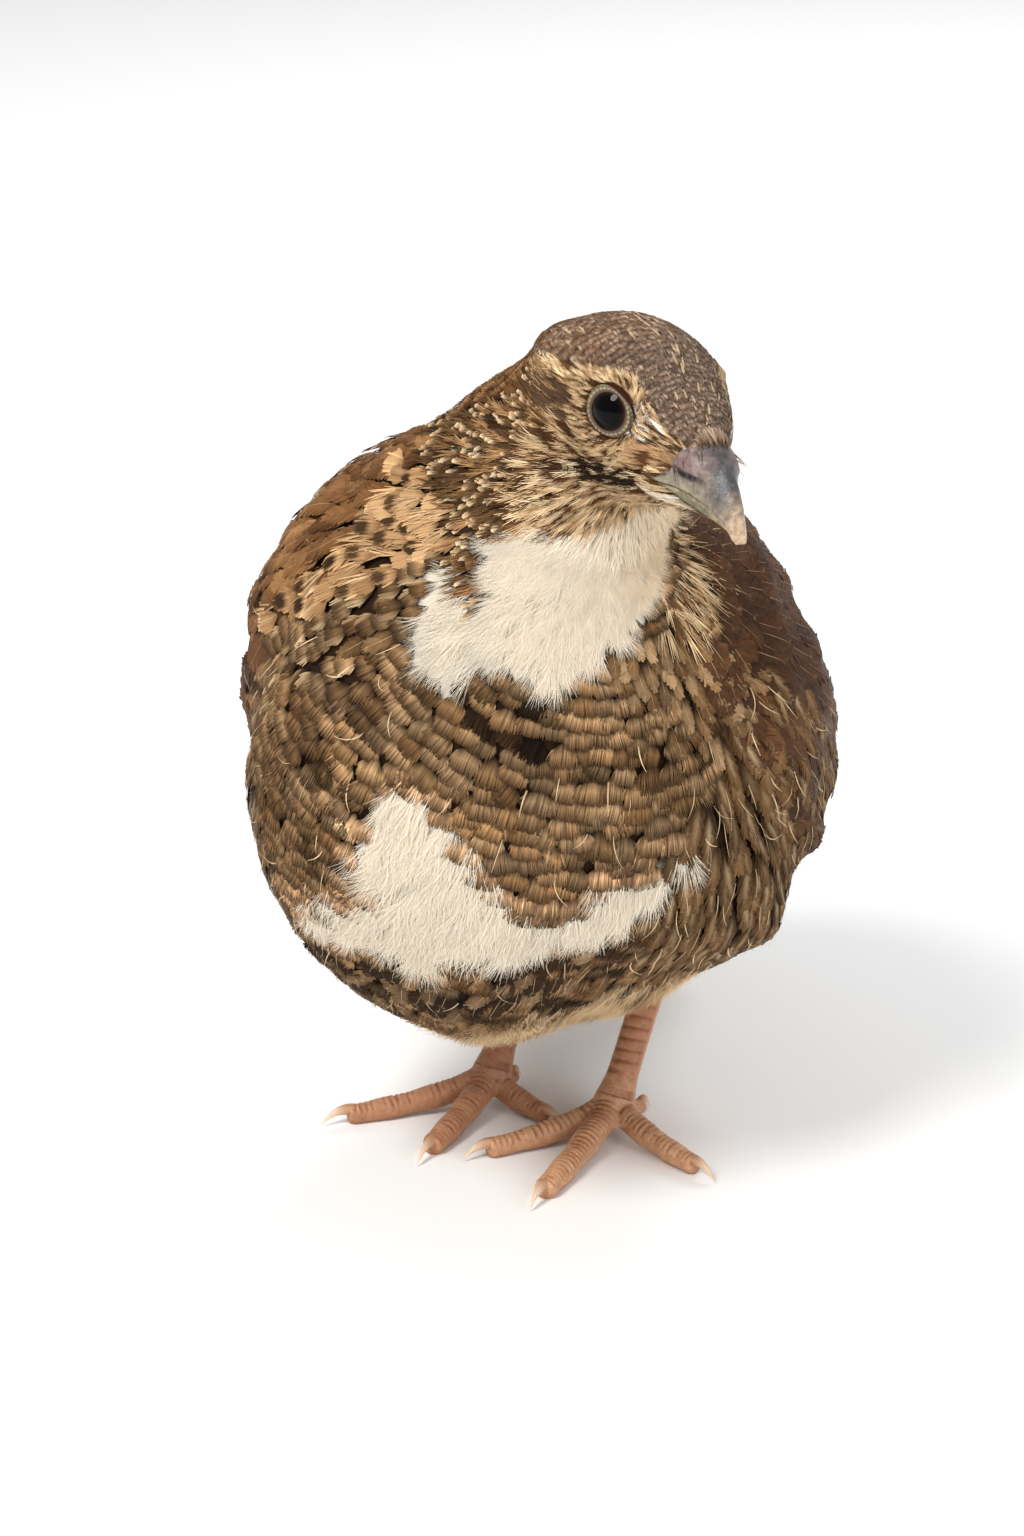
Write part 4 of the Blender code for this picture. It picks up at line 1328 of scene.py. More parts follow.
# How high over the skin each kind of feather lies along its length, in row spacings
SCALE_HEIGHTS = np.array((-0.12, 0.10, 0.24, 0.39, 0.40))
FLAT_HEIGHTS = np.array((-0.10, 0.14, 0.28, 0.42, 0.48))
QUILL_HEIGHTS = np.array((0.36, 0.46, 0.56, 0.62, 0.68))
DOWN_HEIGHTS = np.array((-0.10, 0.10, 0.26, 0.44, 0.54))
MANTLE_HEIGHTS = np.array((-0.08, 0.12, 0.22, 0.28, 0.26))
FLANK_HEIGHTS = np.array((-0.10, 0.20, 0.32, 0.38, 0.38))


def hair_look(random, colour, base, length, width, rough, spread=0.15, shade=0.1, raised=1.0):
    """The look of a small tuft of hair-like barbs."""
    style = down_style(random, colour, base, spread, shade)
    return "hair", style, length, width, FLAT_HEIGHTS * raised, rough


def body_look(look, random):
    """The form, colours, size and heights of the feather at a place. Sizes are in row spacings."""
    pixel, way = look["pixel"], look["way"]
    white = -99.0
    if look["seen"]:
        white = max(depth_inside(pixel, outline) for outline in (BIB, BELLY_PATCH))
    if white + random.normal(0, 2.0) > WHITE_INSET:
        x, y = pixel
        warm = smooth_step(x, *WARM_COLUMNS) * smooth_step(y, *WARM_ROWS)
        colour = mixed("white", "cream", 0.2 + 0.6 * warm)
        if way < WHITE_HAIR_WAY:
            return hair_look(random, colour, colour * 0.9, 4.0, 0.7, 0.12, spread=0.05, shade=0.02)
        # Grey roots near a patch's edge paint the shade there.
        base = COLOURS["painted_shade_grey"] if white < PATCH_EDGE else colour * 0.85
        # Painted grey shade over the bib's left corner, deeper towards its edge.
        if x < GREY_COLUMN and y < GREY_ROW:
            colour = mixed(colour, "painted_shade_grey", 0.7 * random.uniform(0, 1) * smooth_step(white, 26, 4))
        length = (3.5 if way > LONG_DOWN_WAY else 3.2) * (0.85 + 0.15 * smooth_step(white, 2, 12))
        return "down", down_style(random, colour, base), length, 0.85, DOWN_HEIGHTS, 0.16
    if way < HEAD_WAY and look["head"].z > -19:
        return head_look(look["head"], random)
    if look["seen"]:
        if depth_inside(pixel, SPECKLED) > -SPECKLED_MARGIN:
            return speckled_look(random)
        for outline, outlined_look in ((THROAT_SIDE, throat_side_look), (BUFF_BAND, buff_look)):
            if depth_inside(pixel, outline) + random.normal(0, 4) > 0:
                return outlined_look(random)
        if depth_inside(pixel, MANTLE) > 0:
            return mantle_look(random)
    t, turn = on_torso(look["root"])
    if abs(turn) < BACK_TURN and way > HEAD_WAY:
        return back_look(turn, random)
    if way < NECK_SIDE_WAY and turn < 0:
        return speckled_look(random)
    fluff = look["seen"] and depth_inside(pixel, FLUFF) + random.normal(0, 6) > 0
    if fluff or t < -0.55 or (look["root"].z < 20 * MM and abs(look["root"].x) < 26 * MM):
        colour = between(random, "tan", "cream")
        if random.uniform() < 0.3:
            colour = between(random, "breast", "breast_dark", 0, 0.8)
        return "down", down_style(random, colour, "breast_dark", 0.15, 0.08), 3.6, 0.9, DOWN_HEIGHTS, 0.25
    return breast_look(look, t, turn, random)


def breast_look(look, t, turn, random):
    """The scales of the breast, and the longer feathers with pale shafts down the flanks."""
    pale, chance = random.uniform(0, 1, 2)
    if look["flank"]:
        ground = mixed("breast", "breast_dark", 0.6 * pale)
        streak = mixed("shaft", ground, 0.1 + 0.8 * chance)
        style = streak_style(random, ground, streak, "breast_dark", reach=0.14, edge=ground * 0.5)
        return "lance", style, random.uniform(3.8, 4.8), 0.58, FLANK_HEIGHTS, 0.08
    body = mixed("breast", "breast_dark", 0.35 * random.uniform(0, 1))
    band = mixed("breast", "breast_pale", pale)
    if chance < 0.2:
        band = mixed("breast_grey", "breast_pale", 0.3 + 0.4 * pale)
        body = mixed("breast_grey", "breast", 0.5)
    elif chance < 0.4:
        band = mixed("breast_orange", "breast_pale", 0.3 + 0.6 * pale)
        body = mixed("breast_orange", "breast", 0.5)
    cleft = depth_inside(look["pixel"], CLEFT) if look["seen"] else -99
    shadow = 1 - 0.4 * smooth_step(cleft, *CLEFT_SHADOW) * random.uniform(0.3, 1)
    body, band = body * shadow, band * shadow
    # Inside the parting the feathers take the gap colour: painted shadow.
    if cleft + random.normal(0, 4) > 0:
        body, band = COLOURS["gap"], COLOURS["breast_dark"] * 0.7
    by_patch = depth_inside(look["pixel"], BELLY_PATCH) > -PEACH_MARGIN
    if look["seen"] and by_patch and look["pixel"][1] < PEACH_ROW:
        body = mixed("peach", "breast_pale", 0.4 * pale)
        band = body * 0.8
    low = look["seen"] and look["pixel"][1] > DARK_ROW + random.normal(0, 15)
    if low and chance > 0.62:
        body, band = COLOURS["breast_dark"] * random.uniform(0.8, 1.5), COLOURS["breast_dark"]
    side = 1 - smooth_step(abs(turn) - 25 * t, 82, 102)
    if look["seen"] and turn < 0 and random.uniform() < side:
        stripe = mixed("breast_pale", "cream", 0.6 * pale) if chance > 0.3 else None
        style = scale_style(random, band, body, "gap", "breast_dark", bars=0.25, shade=0.2, stripe=stripe)
        return "scale", style, 2.9, random.uniform(0.65, 0.85), SCALE_HEIGHTS, 0.08
    streaky = not look["seen"] or look["pixel"][1] > STREAKY_ROW
    if low and random.uniform() < 0.6 or streaky and random.uniform() < side:
        ground = between(random, band, body) * 0.85
        style = streak_style(random, ground, "shaft", "gap", reach=0.08, edge="breast_dark")
        return "lance", style, 3.9, 0.66, SCALE_HEIGHTS, 0.05
    style = scale_style(random, band, body, "gap", edge="breast_dark", spread=0.34, shade=0.27)
    return "scale", style, 2.95, random.uniform(0.9, 1.15), SCALE_HEIGHTS, 0.09


def mantle_look(random):
    """The shoulder: smooth red-brown feathers with thin pale shafts."""
    ground = mixed("rufous", "rufous_pale", 0.55 * random.uniform(0, 1))
    if random.uniform() < 0.35:
        ground = between(random, "rufous", "wing_dark", 0.1, 0.6)
    shaft = between(random, "shaft", ground)
    style = streak_style(random, ground, shaft, ground * 0.8, reach=0.05, edge=ground * 0.85, shade=0.1)
    return "lance", style, 4.8, 0.7, MANTLE_HEIGHTS, 0.06


def back_look(turn, random):
    """The back: brown feathers with black blotches and fine bars, and bold cream streaks in lines."""
    line = abs(abs(turn) - 24) < 6 or abs(abs(turn) - 50) < 5
    if line and random.uniform() < 0.6:
        style = streak_style(random, "wing_dark", "cream", "black", reach=0.3)
        return "lance", style, 3.8, 0.62, FLAT_HEIGHTS, 0.06
    ground = between(random, "rufous", "wing")
    edge = between(random, "rufous_pale", "wing_pale")
    style = scale_style(random, ground, "wing_dark", "black", edge=edge, bars=0.5)
    return "scale", style, 3.2, 0.8, FLAT_HEIGHTS, 0.06


def speckled_look(random):
    """The side of the neck: soft dark brown feathers, many of them with a cream speck at the tip."""
    chance = random.uniform()
    ground = between(random, "breast", "breast_dark")
    if chance < 0.5:
        speck = between(random, "cream", "buff", -0.2, 0.9)
        style = spot_style(random, ground * 0.8, speck, "breast_dark", 0.93, (0.15, 0.6))
        return "cap", style, 2.9, random.uniform(0.34, 0.5), FLAT_HEIGHTS * 0.9, 0.08
    if chance < 0.64:
        ground = between(random, "tan", "breast_orange", 0.2, 1)
    return hair_look(random, ground, "breast_dark", 3.8, 0.6, 0.1, spread=0.2)


def buff_look(random):
    """The buff band on the shoulder: soft gold-buff lobes, some with a dark oval spot."""
    chance = random.uniform()
    ground = between(random, "buff", "breast_orange", 0, 0.8)
    if chance < 0.24:
        spot = mixed("malar", "breast", 0.4 * random.uniform(0, 1))
        style = spot_style(random, ground, spot, "breast", 0.85, (0.19, 0.6))
        return "lobe", style, 3.2, random.uniform(0.7, 0.9), FLAT_HEIGHTS * 1.15, 0.07
    if chance < 0.7:
        tip = mixed(ground, "cream", 0.6 * random.uniform(0, 1) ** 2)
        style = streak_style(random, ground, tip, "breast", reach=0.1, tip=tip, edge=ground * 0.7)
        return "lobe", style, 3.2, random.uniform(0.7, 0.95), FLAT_HEIGHTS, 0.07
    ground = mixed(ground, "shaft", 0.5 * random.uniform(0, 1))
    return hair_look(random, ground, "breast", 4.0, 0.5, 0.14, raised=1.2)


def throat_side_look(random):
    """Beside the bib: long soft hairs of cream and brown."""
    colour = between(random, "tan", "cream", 0, 0.8)
    if random.uniform() < 0.35:
        colour = between(random, "breast", "breast_dark", 0, 0.8)
    return hair_look(random, colour, "breast_dark", 4.4, 0.55, 0.2, spread=0.2)


BROW = ((-16, 80), (-5.4, 62), (-1.2, 53), (3.2, 41), (7, 47), (13, 52))


def head_look(head, random):
    """The markings of the head, alike on both sides."""
    forward, across, up = head
    across = abs(across)
    turn = math.degrees(math.atan2(across, up + 2))
    brow = float(stepped(BROW, forward))
    malar = up + 6.3 + 0.29 * (8 - forward)
    chance = random.uniform()
    if turn < brow - 3:
        rear = 0.5 * smooth_step(forward, 1, -6)
        if across < 0.9 and chance < 0.3 or chance > 0.97:
            style = streak_style(random, "crown", "cream", "crown_dark", reach=0.5)
            return "small", style, 4.2, 0.3, FLAT_HEIGHTS * 1.2, 0.06
        ground = between(random, "crown", "crown_dark", 0, 0.7)
        ground = mixed(ground, "rufous", rear)
        if chance < 0.84:
            band = between(random, ground, "crown_pale", 0, 0.75)
            style = scale_style(random, ground, band, "crown_dark", "crown_dark", shade=0.14, spread=0.12)
            return "cap", style, 3.4, random.uniform(0.85, 1.1), FLAT_HEIGHTS, 0.05
        return hair_look(random, ground, "crown_dark", 4.0, 0.5, 0.08, spread=0.25, shade=0.12)
    if turn < brow + 5 + random.normal(0, 1.5) and forward < 6:
        colour = mixed("cream", "cheek", chance**1.5)
        if random.uniform() < 0.2 + 0.5 * smooth_step(forward, -5, -10):
            colour = between(random, "cheek_dark", "cheek", 0, 0.8)
        return hair_look(random, colour, "cheek_dark", 4.2, 0.62, 0.12)
    if abs(malar) < 1.6 and -4 < forward < 9:
        colour = COLOURS["malar"] if chance > 0.24 else COLOURS["cream"]
        return hair_look(random, colour, "black", 4.4, 0.66, 0.12)
    if forward > 6.5 and up < -0.5 and malar > 1.0:
        colour = mixed("peach", "cheek", chance)
        return hair_look(random, colour, "cheek_dark", 3.8, 0.62, 0.12)
    if forward > 4.5 and up > -1:
        colour = between(random, "cream", "cheek")
        if chance < 0.42:
            colour = between(random, "cheek_dark", "crown_dark")
        elif chance > 0.8:
            colour = COLOURS["white"]
        return hair_look(random, colour, "cheek_dark", 4.4, 0.5, 0.15, spread=0.2, shade=0.12)
    if -11 < forward < -3.4 and -3.5 < up < 3.5:
        colour = between(random, "ear", "crown_dark", 0, 0.7)
        if chance < 0.14:
            colour = COLOURS["cheek"]
        return hair_look(random, colour, "crown_dark", 4.6, 0.7, 0.08)
    if malar < -1.4 and forward > -6:
        colour = between(random, "cream", "cheek", 0.1, 1)
        if chance < 0.34:
            colour = COLOURS["cheek_dark"]
        return hair_look(random, colour, "cheek_dark", 4.2, 0.64, 0.12)
    if forward < -8.5:
        return speckled_look(random)
    colour = between(random, "cheek", "cream", 0, 0.7)
    if chance < 0.42:
        colour = between(random, "cheek_dark", "malar", 0, 0.8)
    return hair_look(random, colour, "cheek_dark", 4.2, 0.62, 0.12, spread=0.2)


def lay_on_bill(coat, x, length, place_at, width, style, rough):
    """Lays a hair back over the bill from x. place_at gives each place along it and its way out."""
    spine, normals = [], []
    for share in SPINE_SHARES:
        place, out = place_at(x - length * share, share)
        spine.append(head_point(*place))
        normals.append((HEAD_FRAME @ (out + Vector((0.2, 0, 0)))).normalized())
    sides = unit(np.cross(normals, unit(np.gradient(np.array(spine), axis=0))))
    coat.lay(spine, normals, list(sides), width * MM, style, spine[0], rough)


def grow_bill_base(coats, random):
    """The short feathers that cover the root of the upper bill, down to the hood of the nostril."""
    for x in np.arange(8.4, 16.4, 0.4):
        for degrees in np.arange(-14, 195, 5.0):
            a = math.radians(degrees + random.normal(0, 2.0))
            steep = max(math.sin(a), 0.0)
            limit = 10.4 + 2.2 * smooth_step(steep, 0.08, 0.3) + 3.4 * smooth_step(steep, 0.78, 0.96)
            if x > limit + random.normal(0, 0.25):
                continue
            bend = random.normal(0, 0.12)
            colour = between(random, "cream", "cheek")
            if math.sin(a) > 0.8:
                colour = between(random, "crown", "crown_pale")
            elif random.uniform() < 0.3:
                colour = "cheek_dark"
            style = down_style(random, colour, "cheek_dark", 0.2, 0.1)

            def place_at(back, share):
                width, ridge, mouth, _ = smooth_row(max(back, BILL_STATIONS[0][0]), 0.6)
                out = Vector((0.0, math.cos(a), steep))
                across = width * math.cos(a) + bend * share
                place = Vector((back, across, mouth + (ridge - mouth) * steep**1.25))
                return place + out * (0.04 + 0.55 * share**0.8), out

            lay_on_bill(coats["hair"], x, 2.9, place_at, 0.62, style, 0.12)


def grow_chin(coats, random):
    """White down under the lower half of the bill, which carries the bib up to its middle."""
    for x in np.arange(9.0, 19.2, 0.45):
        for degrees in np.arange(-84, 85, 6.0):
            a = math.radians(degrees + random.normal(0, 2.5))
            steep = abs(math.sin(a))
            if x > 19.0 - 6.5 * steep**2 + random.normal(0, 0.3):
                continue
            colour = between(random, "white", "cream", 0, 0.8)
            if random.uniform() < 0.8 * smooth_step(steep, 0.75, 0.97):
                colour = between(random, "cream", "cheek")
                if random.uniform() < 0.25:
                    colour = COLOURS["cheek_dark"]
            style = down_style(random, colour, colour * 0.8, 0.12, 0.06)

            def place_at(back, share):
                width, _, mouth, low = smooth_row(max(back, BILL_STATIONS[0][0]), 0.8)
                out = Vector((0.0, math.sin(a), -math.cos(a)))
                rise = 0.4 + 2.2 * smooth_step(x, 19, 12) * (1 - 0.85 * steep)
                place = Vector((back, width * math.sin(a), mouth - (mouth - low) * math.cos(a)))
                return place + out * (0.02 + rise * share**0.8), out

            lay_on_bill(coats["hair"], x, 4.0, place_at, 0.5, style, 0.16)


def grow_eye_rings(skin, ground, coats, random):
    """Tiny tufts close round the lids."""
    for centre, look in ground.eyes:
        side = look.orthogonal().normalized()
        for gap in (3.55, 3.9, 4.3, 4.9, 5.5):
            count = round(2 * math.pi * gap / 0.4)
            for k in range(count):
                out = Matrix.Rotation(2 * math.pi * (k + random.uniform(0, 0.8)) / count, 3, look) @ side
                root, _, flow, _ = skin.at(centre + (look * 2.9 + out * gap) * MM)
                inward = min(0.0, flow.dot(out))
                direction = flow + out * (0.45 - 1.5 * inward) + side * random.normal(0, 0.1)
                direction.normalize()
                _, style, _, _, _, _ = head_look(in_head(root + direction * MM), random)
                length = random.uniform(1.3, 1.9) + 0.3 * (gap > 4)
                coats["hair"].grow(
                    skin, root, direction, length * MM, 0.34 * MM, FLAT_HEIGHTS * 0.8 * MM, style,
                    rough=0.1, bend=random.normal(0, 0.3),
                )


def grow_bristles(coats, random):
    """The bristles that stand out round the root of the bill."""
    for k in range(26):
        side = 1 if k % 2 else -1
        steep = random.uniform(0.15, 0.95)
        x = 11.5 + 3.5 * steep + random.normal(0, 0.4)
        width, ridge, mouth, _ = smooth_row(x, 0.6)
        start = Vector((x, side * width * math.sqrt(1 - steep**2), mouth + (ridge - mouth) * steep))
        ahead = Vector((0.9, side * random.uniform(0.2, 0.7), random.uniform(-0.35, 0.3))).normalized()
        length = random.uniform(2.0, 3.6)
        spine = [
            head_point(*(start + ahead * length * q + Vector((0, 0, -0.6 * q * q))))
            for q in np.linspace(0, 1, SPINE_STEPS)
        ]
        across = (spine[-1] - spine[0]).cross(PHOTO_BACK).normalized()
        colour = mixed("crown_dark", "cream", random.uniform(0, 1) ** 2)
        coats["quill"].lay(
            spine, [PHOTO_BACK] * SPINE_STEPS, [across] * SPINE_STEPS, 0.06 * MM,
            down_style(random, colour, colour * 0.7), spine[0], 0.0,
        )


# Wings and tail

# Rows of wing feathers: form, root's share of the wing, length and half width in mm, how many across
WING_ROWS = (
    [("lance", 0.00 + 0.03 * k, 10.0 + 0.5 * k, 2.2, 15) for k in range(11)]
    + [("lance", 0.33 + 0.045 * k, 15.0 + k, 2.6, 14) for k in range(4)]
    + [("long", 0.5, 19.0, 3.0, 13)]
)


# The flight feathers: how many, their root along the wing, the first one's place across it, how far they
# spread, and their half width and height in mm
FLIGHT_ROWS = (
    (14, 0.52, 0.95, 0.92, 3.2, -0.3),
    (9, 0.62, 0.97, 0.6, 2.8, -0.4),
)


def wing_style(side, tier, random):
    """Colours of a wing feather, redder and paler on the bird's right, as its shoulder is in the photograph:
    painted light on that side and painted shade on the darker left wing.
    """
    ground = between(random, "wing", "wing_dark", -0.3, 0.6)
    # Painted light: the bird's right wing is redder and paler than its left, which is in painted shade.
    if side < 0:
        ground = between(random, "rufous", "wing")
        if random.uniform() < 0.2:
            ground = between(random, ground, "wing_dark", 0.3, 0.7)
    dark = COLOURS["wing_dark"]
    if tier == "flight":
        return streak_style(random, dark, "wing", dark, reach=0.08, edge="rufous_pale")
    streak = between(random, "shaft", ground, 0.25, 0.95)
    edge = mixed(ground, COLOURS["wing_pale"] if random.uniform() < 0.3 else dark, 0.4)
    return streak_style(random, ground, streak, dark, reach=0.05, edge=edge, shade=0.16)


def grow_wing(skin, side, random):
    """The folded wing: its flight feathers, then the rows that cover their roots."""
    coats = {form: Coat(form) for form in ("lance", "long")}
    flat = np.array((0.0, 0.35, 0.6, 0.8, 0.85)) * MM

    def add(form, u, v, length, width, rise, style):
        root = wing_point(side, u, v)
        near = skin.at(root)[0]
        ahead = wing_point(side, u + 0.03, v) - root
        coats[form].grow(
            skin, near, ahead, length * MM, width * MM, flat + rise * MM, style,
            rough=0.04, twist=side * 0.08 + random.normal(0, 0.04),
        )

    for row, (count, u, upper, spread, width, rise) in enumerate(FLIGHT_ROWS):
        for k in range(count):
            tip = 1.0 if row else 0.80 + 0.12 * math.sin(math.pi * k / (count - 1) * 0.8)
            length = (tip - u) * WING_REACH * round(TORSO_HALF_LENGTH / MM)
            v = upper - spread * k / (count - 1)
            add("long", u, v, length, width, rise + 0.03 * k, wing_style(side, "flight", random))
    for row, (form, u, length, width, count) in enumerate(WING_ROWS):
        for k in range(count + 1):
            v = (k + 0.5 * (row % 2) + random.normal(0, 0.08)) / count
            style = wing_style(side, "covert", random)
            add(form, u + random.normal(0, 0.005), min(v, 1.0), length, width, 0.1 * (1 - v), style)
    return coats


# Tiers of the tail: form, how many, root and tip along it, spread at both, heights at root and tip
TAIL_TIERS = (
    ("long", 9, (12, 49), (5.5, 10.0), (3.0, 3.8), "flight"),
    ("lance", 6, (4, 27), (8.0, 9.5), (8.6, 7.2), "covert"),
    ("lance", 7, (12, 36), (7.0, 9.5), (7.4, 6.4), "covert"),
    ("lance", 6, (19, 42), (5.5, 9.0), (6.4, 5.6), "covert"),
    ("lance", 6, (6, 30), (7.0, 9.0), (-5.0, 0.2), "under"),
    ("lance", 6, (14, 40), (6.0, 8.5), (-1.5, 2.2), "under"),
)


def grow_tail(random):
    """The short tail, tier by tier, with feathers over and under it."""
    coats = {form: Coat(form) for form in ("lance", "long")}
    for form, count, span, widths, heights, tier in TAIL_TIERS:
        for k in range(count):
            share = 2 * k / (count - 1) - 1
            tip = span[1] - 4 * share**2 + random.normal(0, 0.5)
            spine, normals, sides = [], [], []
            for s in SPINE_SHARES:
                across = (widths[0] + (widths[1] - widths[0]) * s) * share
                up = heights[0] + (heights[1] - heights[0]) * s - 0.035 * across**2 + 0.25 * share * s
                spine.append(np.array(tail_point(span[0] + (tip - span[0]) * s, across, up)))
                normal = unit(np.array(TAIL_UP) + np.array((0.07 * across, 0, 0)))
                ahead = np.array(TAIL_ALONG)
                sides.append(unit(np.cross(normal, ahead)))
                normals.append(-normal if tier == "under" else normal)
            if tier == "under":
                ground = between(random, "tan", "buff")
                style = streak_style(random, ground, "cream", "breast", reach=0.2)
            else:
                style = scale_style(random, "wing", "wing_dark", "black", "rufous_pale", bars=0.55)
            width = (3.4 if form == "long" else 2.7) * MM
            coats[form].lay(spine, normals, sides, width, style, spine[0], 0.05)
    return coats


# Eyes and lids

# The eyeball: rings and sides, how far its front swells, and where its pupil and iris end, in degrees
EYE_RINGS = 48
EYE_SIDES = 56
CORNEA_SWELL = 0.03
PUPIL_EDGE = (27, 33)
IRIS_EDGE = (34, 38)

def round_eye(side):
    """A function that gives the place at an angle from an eye's look, a turn round it and a radius."""
    centre, look = eye_axes(side)
    turned = np.array(look.to_track_quat("Z", "Y").to_matrix())

    def place_at(angle, turn, radius):
        flat = math.sin(angle)
        away = np.array((flat * math.cos(turn), flat * math.sin(turn), math.cos(angle)))
        return np.array(centre) + turned @ away * radius * MM

    return place_at


def make_eye(side, name, material):
    """A glossy eyeball: black pupil, dark brown iris and a red-brown rim."""
    place_at = round_eye(side)
    turns = np.linspace(0, 2 * math.pi, EYE_SIDES, endpoint=False)
    rings, tints = [], []
    for angle in np.linspace(math.radians(3), math.radians(177), EYE_RINGS):
        swell = 1 + CORNEA_SWELL * math.exp(-((angle / math.radians(28)) ** 2))
        rings.append([place_at(angle, turn, EYE_RADIUS * swell) for turn in turns])
        degrees = math.degrees(angle)
        colour = mixed("eye", "iris", smooth_step(degrees, *PUPIL_EDGE))
        colour = mixed(colour, "eye_rim", smooth_step(degrees, *IRIS_EDGE))
        tints += [colour] * EYE_SIDES
    front, back = place_at(0, 0, EYE_RADIUS * (1 + CORNEA_SWELL)), place_at(math.pi, 0, EYE_RADIUS)
    mesh = ring_mesh(name, rings, front, back)
    return finished(name, mesh, tints + [COLOURS["eye"], COLOURS["eye_rim"]], material)


# The lids' own shape: degrees from the way the eye looks, and mm from its centre
LID_PROFILE = ((35, 4.1), (37, 4.4), (40, 4.56), (43, 4.68), (47, 4.62), (50, 4.4), (54, 3.9), (60, 3.2))
LID_CORNERS = math.radians(35)
LID_RINGS = 22
LID_SIDES = 144

# The lids' two rows of beads: where in degrees, how wide, how many beads and how high in mm
BEADS = (41, 1.6, 30, 0.15)
OUTER_BEADS = (46, 1.8, 38, 0.12)


def make_lids(side, name, material):
    """The ring of beaded, wrinkled skin round an eye, drawn out to its two corners."""
    place_at = round_eye(side)
    points, tints = [], []
    first, last = LID_PROFILE[0][0], LID_PROFILE[-1][0]
    for degrees in np.linspace(first, last, LID_RINGS):
        radius = float(stepped(LID_PROFILE, degrees))
        for k in range(LID_SIDES):
            turn = 2 * math.pi * k / LID_SIDES
            drawn = 1 + 0.15 * math.cos(2 * (turn - side * LID_CORNERS)) * smooth_step(degrees, 35, 50)
            bead = abs(math.sin(turn * BEADS[2] / 2)) ** 0.8
            bead *= math.exp(-(((degrees - BEADS[0]) / BEADS[1]) ** 2))
            outer = abs(math.cos(turn * OUTER_BEADS[2] / 2)) ** 0.8
            outer *= math.exp(-(((degrees - OUTER_BEADS[0]) / OUTER_BEADS[1]) ** 2))
            height = radius + BEADS[3] * bead + OUTER_BEADS[3] * outer
            points.append(place_at(math.radians(degrees) * drawn, turn, height))
            pale = max(bead, 0.75 * outer) * smooth_step(degrees, 37, 40) * smooth_step(degrees, 52, 48)
            pale *= 0.8 + 0.2 * math.sin(5 * turn + 1.3) * math.sin(3 * turn)
            tints.append(mixed("lid_dark", "lid", pale))
    faces = []
    for i in range(LID_RINGS - 1):
        for k in range(LID_SIDES):
            a, b = i * LID_SIDES + k, i * LID_SIDES + (k + 1) % LID_SIDES
            faces += [(a, b + LID_SIDES, b), (a, a + LID_SIDES, b + LID_SIDES)]
    return finished(name, mesh_from_arrays(name, np.array(points), np.array(faces)), tints, material)


# Bill

# How finely the two halves are made, as rings and sides
UPPER_BILL_GRID = (110, 168)
LOWER_BILL_GRID = (60, 48)


def bump_at(x, middle, half_width, sharp=2):
    """1 at the middle, falling to both sides, steeper the larger sharp is."""
    return math.exp(-(((x - middle) / half_width) ** sharp))


def bill_row(x):
    """Half width, ridge, mouth and lower edge of the bill at x, in mm."""
    xs = [row[0] for row in BILL_STATIONS]
    return [float(np.interp(x, xs, [row[k] for row in BILL_STATIONS])) for k in range(1, 5)]


def smooth_row(x, reach):
    """The bill's row at x, evened out over its neighbours."""
    first, last = BILL_STATIONS[0][0], BILL_STATIONS[-1][0]
    rows = [bill_row(min(max(x + reach * w, first), last)) for w in (-1, -0.5, 0, 0.5, 1)]
    return np.average(rows, axis=0, weights=(1, 2, 3, 2, 1))


def nostril_at(x, z):
    """How much of the nostril's hood and of the slit under it there is at a place on the bill's side."""
    hood = bump_at(x, NOSTRIL_PLACE[0], NOSTRIL_SIZE[0] / 1.25, 4)
    hood *= bump_at(z, NOSTRIL_PLACE[1] + 0.1, NOSTRIL_SIZE[1] / 1.3, 4)
    low = NOSTRIL_PLACE[1] - 1.55 + 0.10 * abs(x - NOSTRIL_PLACE[0])
    return hood, bump_at(z, low, 0.42) * bump_at(x, NOSTRIL_PLACE[0] + 0.4, 2.3, 4)


def upper_bill_colour(x, z, ridge, hood, slit, rim):
    """Grey along the ridge, browner on the sides and the hood, and pale at the tip."""
    colour = mixed("bill_side", "culmen", smooth_step(z, ridge - 2.4, ridge - 0.6))
    colour = mixed(colour, "culmen", 0.6 * smooth_step(x, 16.5, 20))
    lines = 0.5 + 0.5 * math.sin(2 * math.pi * (1.5 * x + 0.5 * z + 0.3 * math.sin(2 * z)))
    colour = colour * (1 - 0.12 * lines * (1 - hood))
    colour = mixed(colour, "operculum", hood)
    colour = mixed(colour, "bill_tip", smooth_step(x, 20.2, 24.8))
    colour = mixed(colour, "tomium", 0.5 * rim * smooth_step(x, 24, 18))
    # The slit under the nostril's hood is painted black, as the shade in it.
    return mixed(colour, "black", min(1.0, 1.1 * slit))


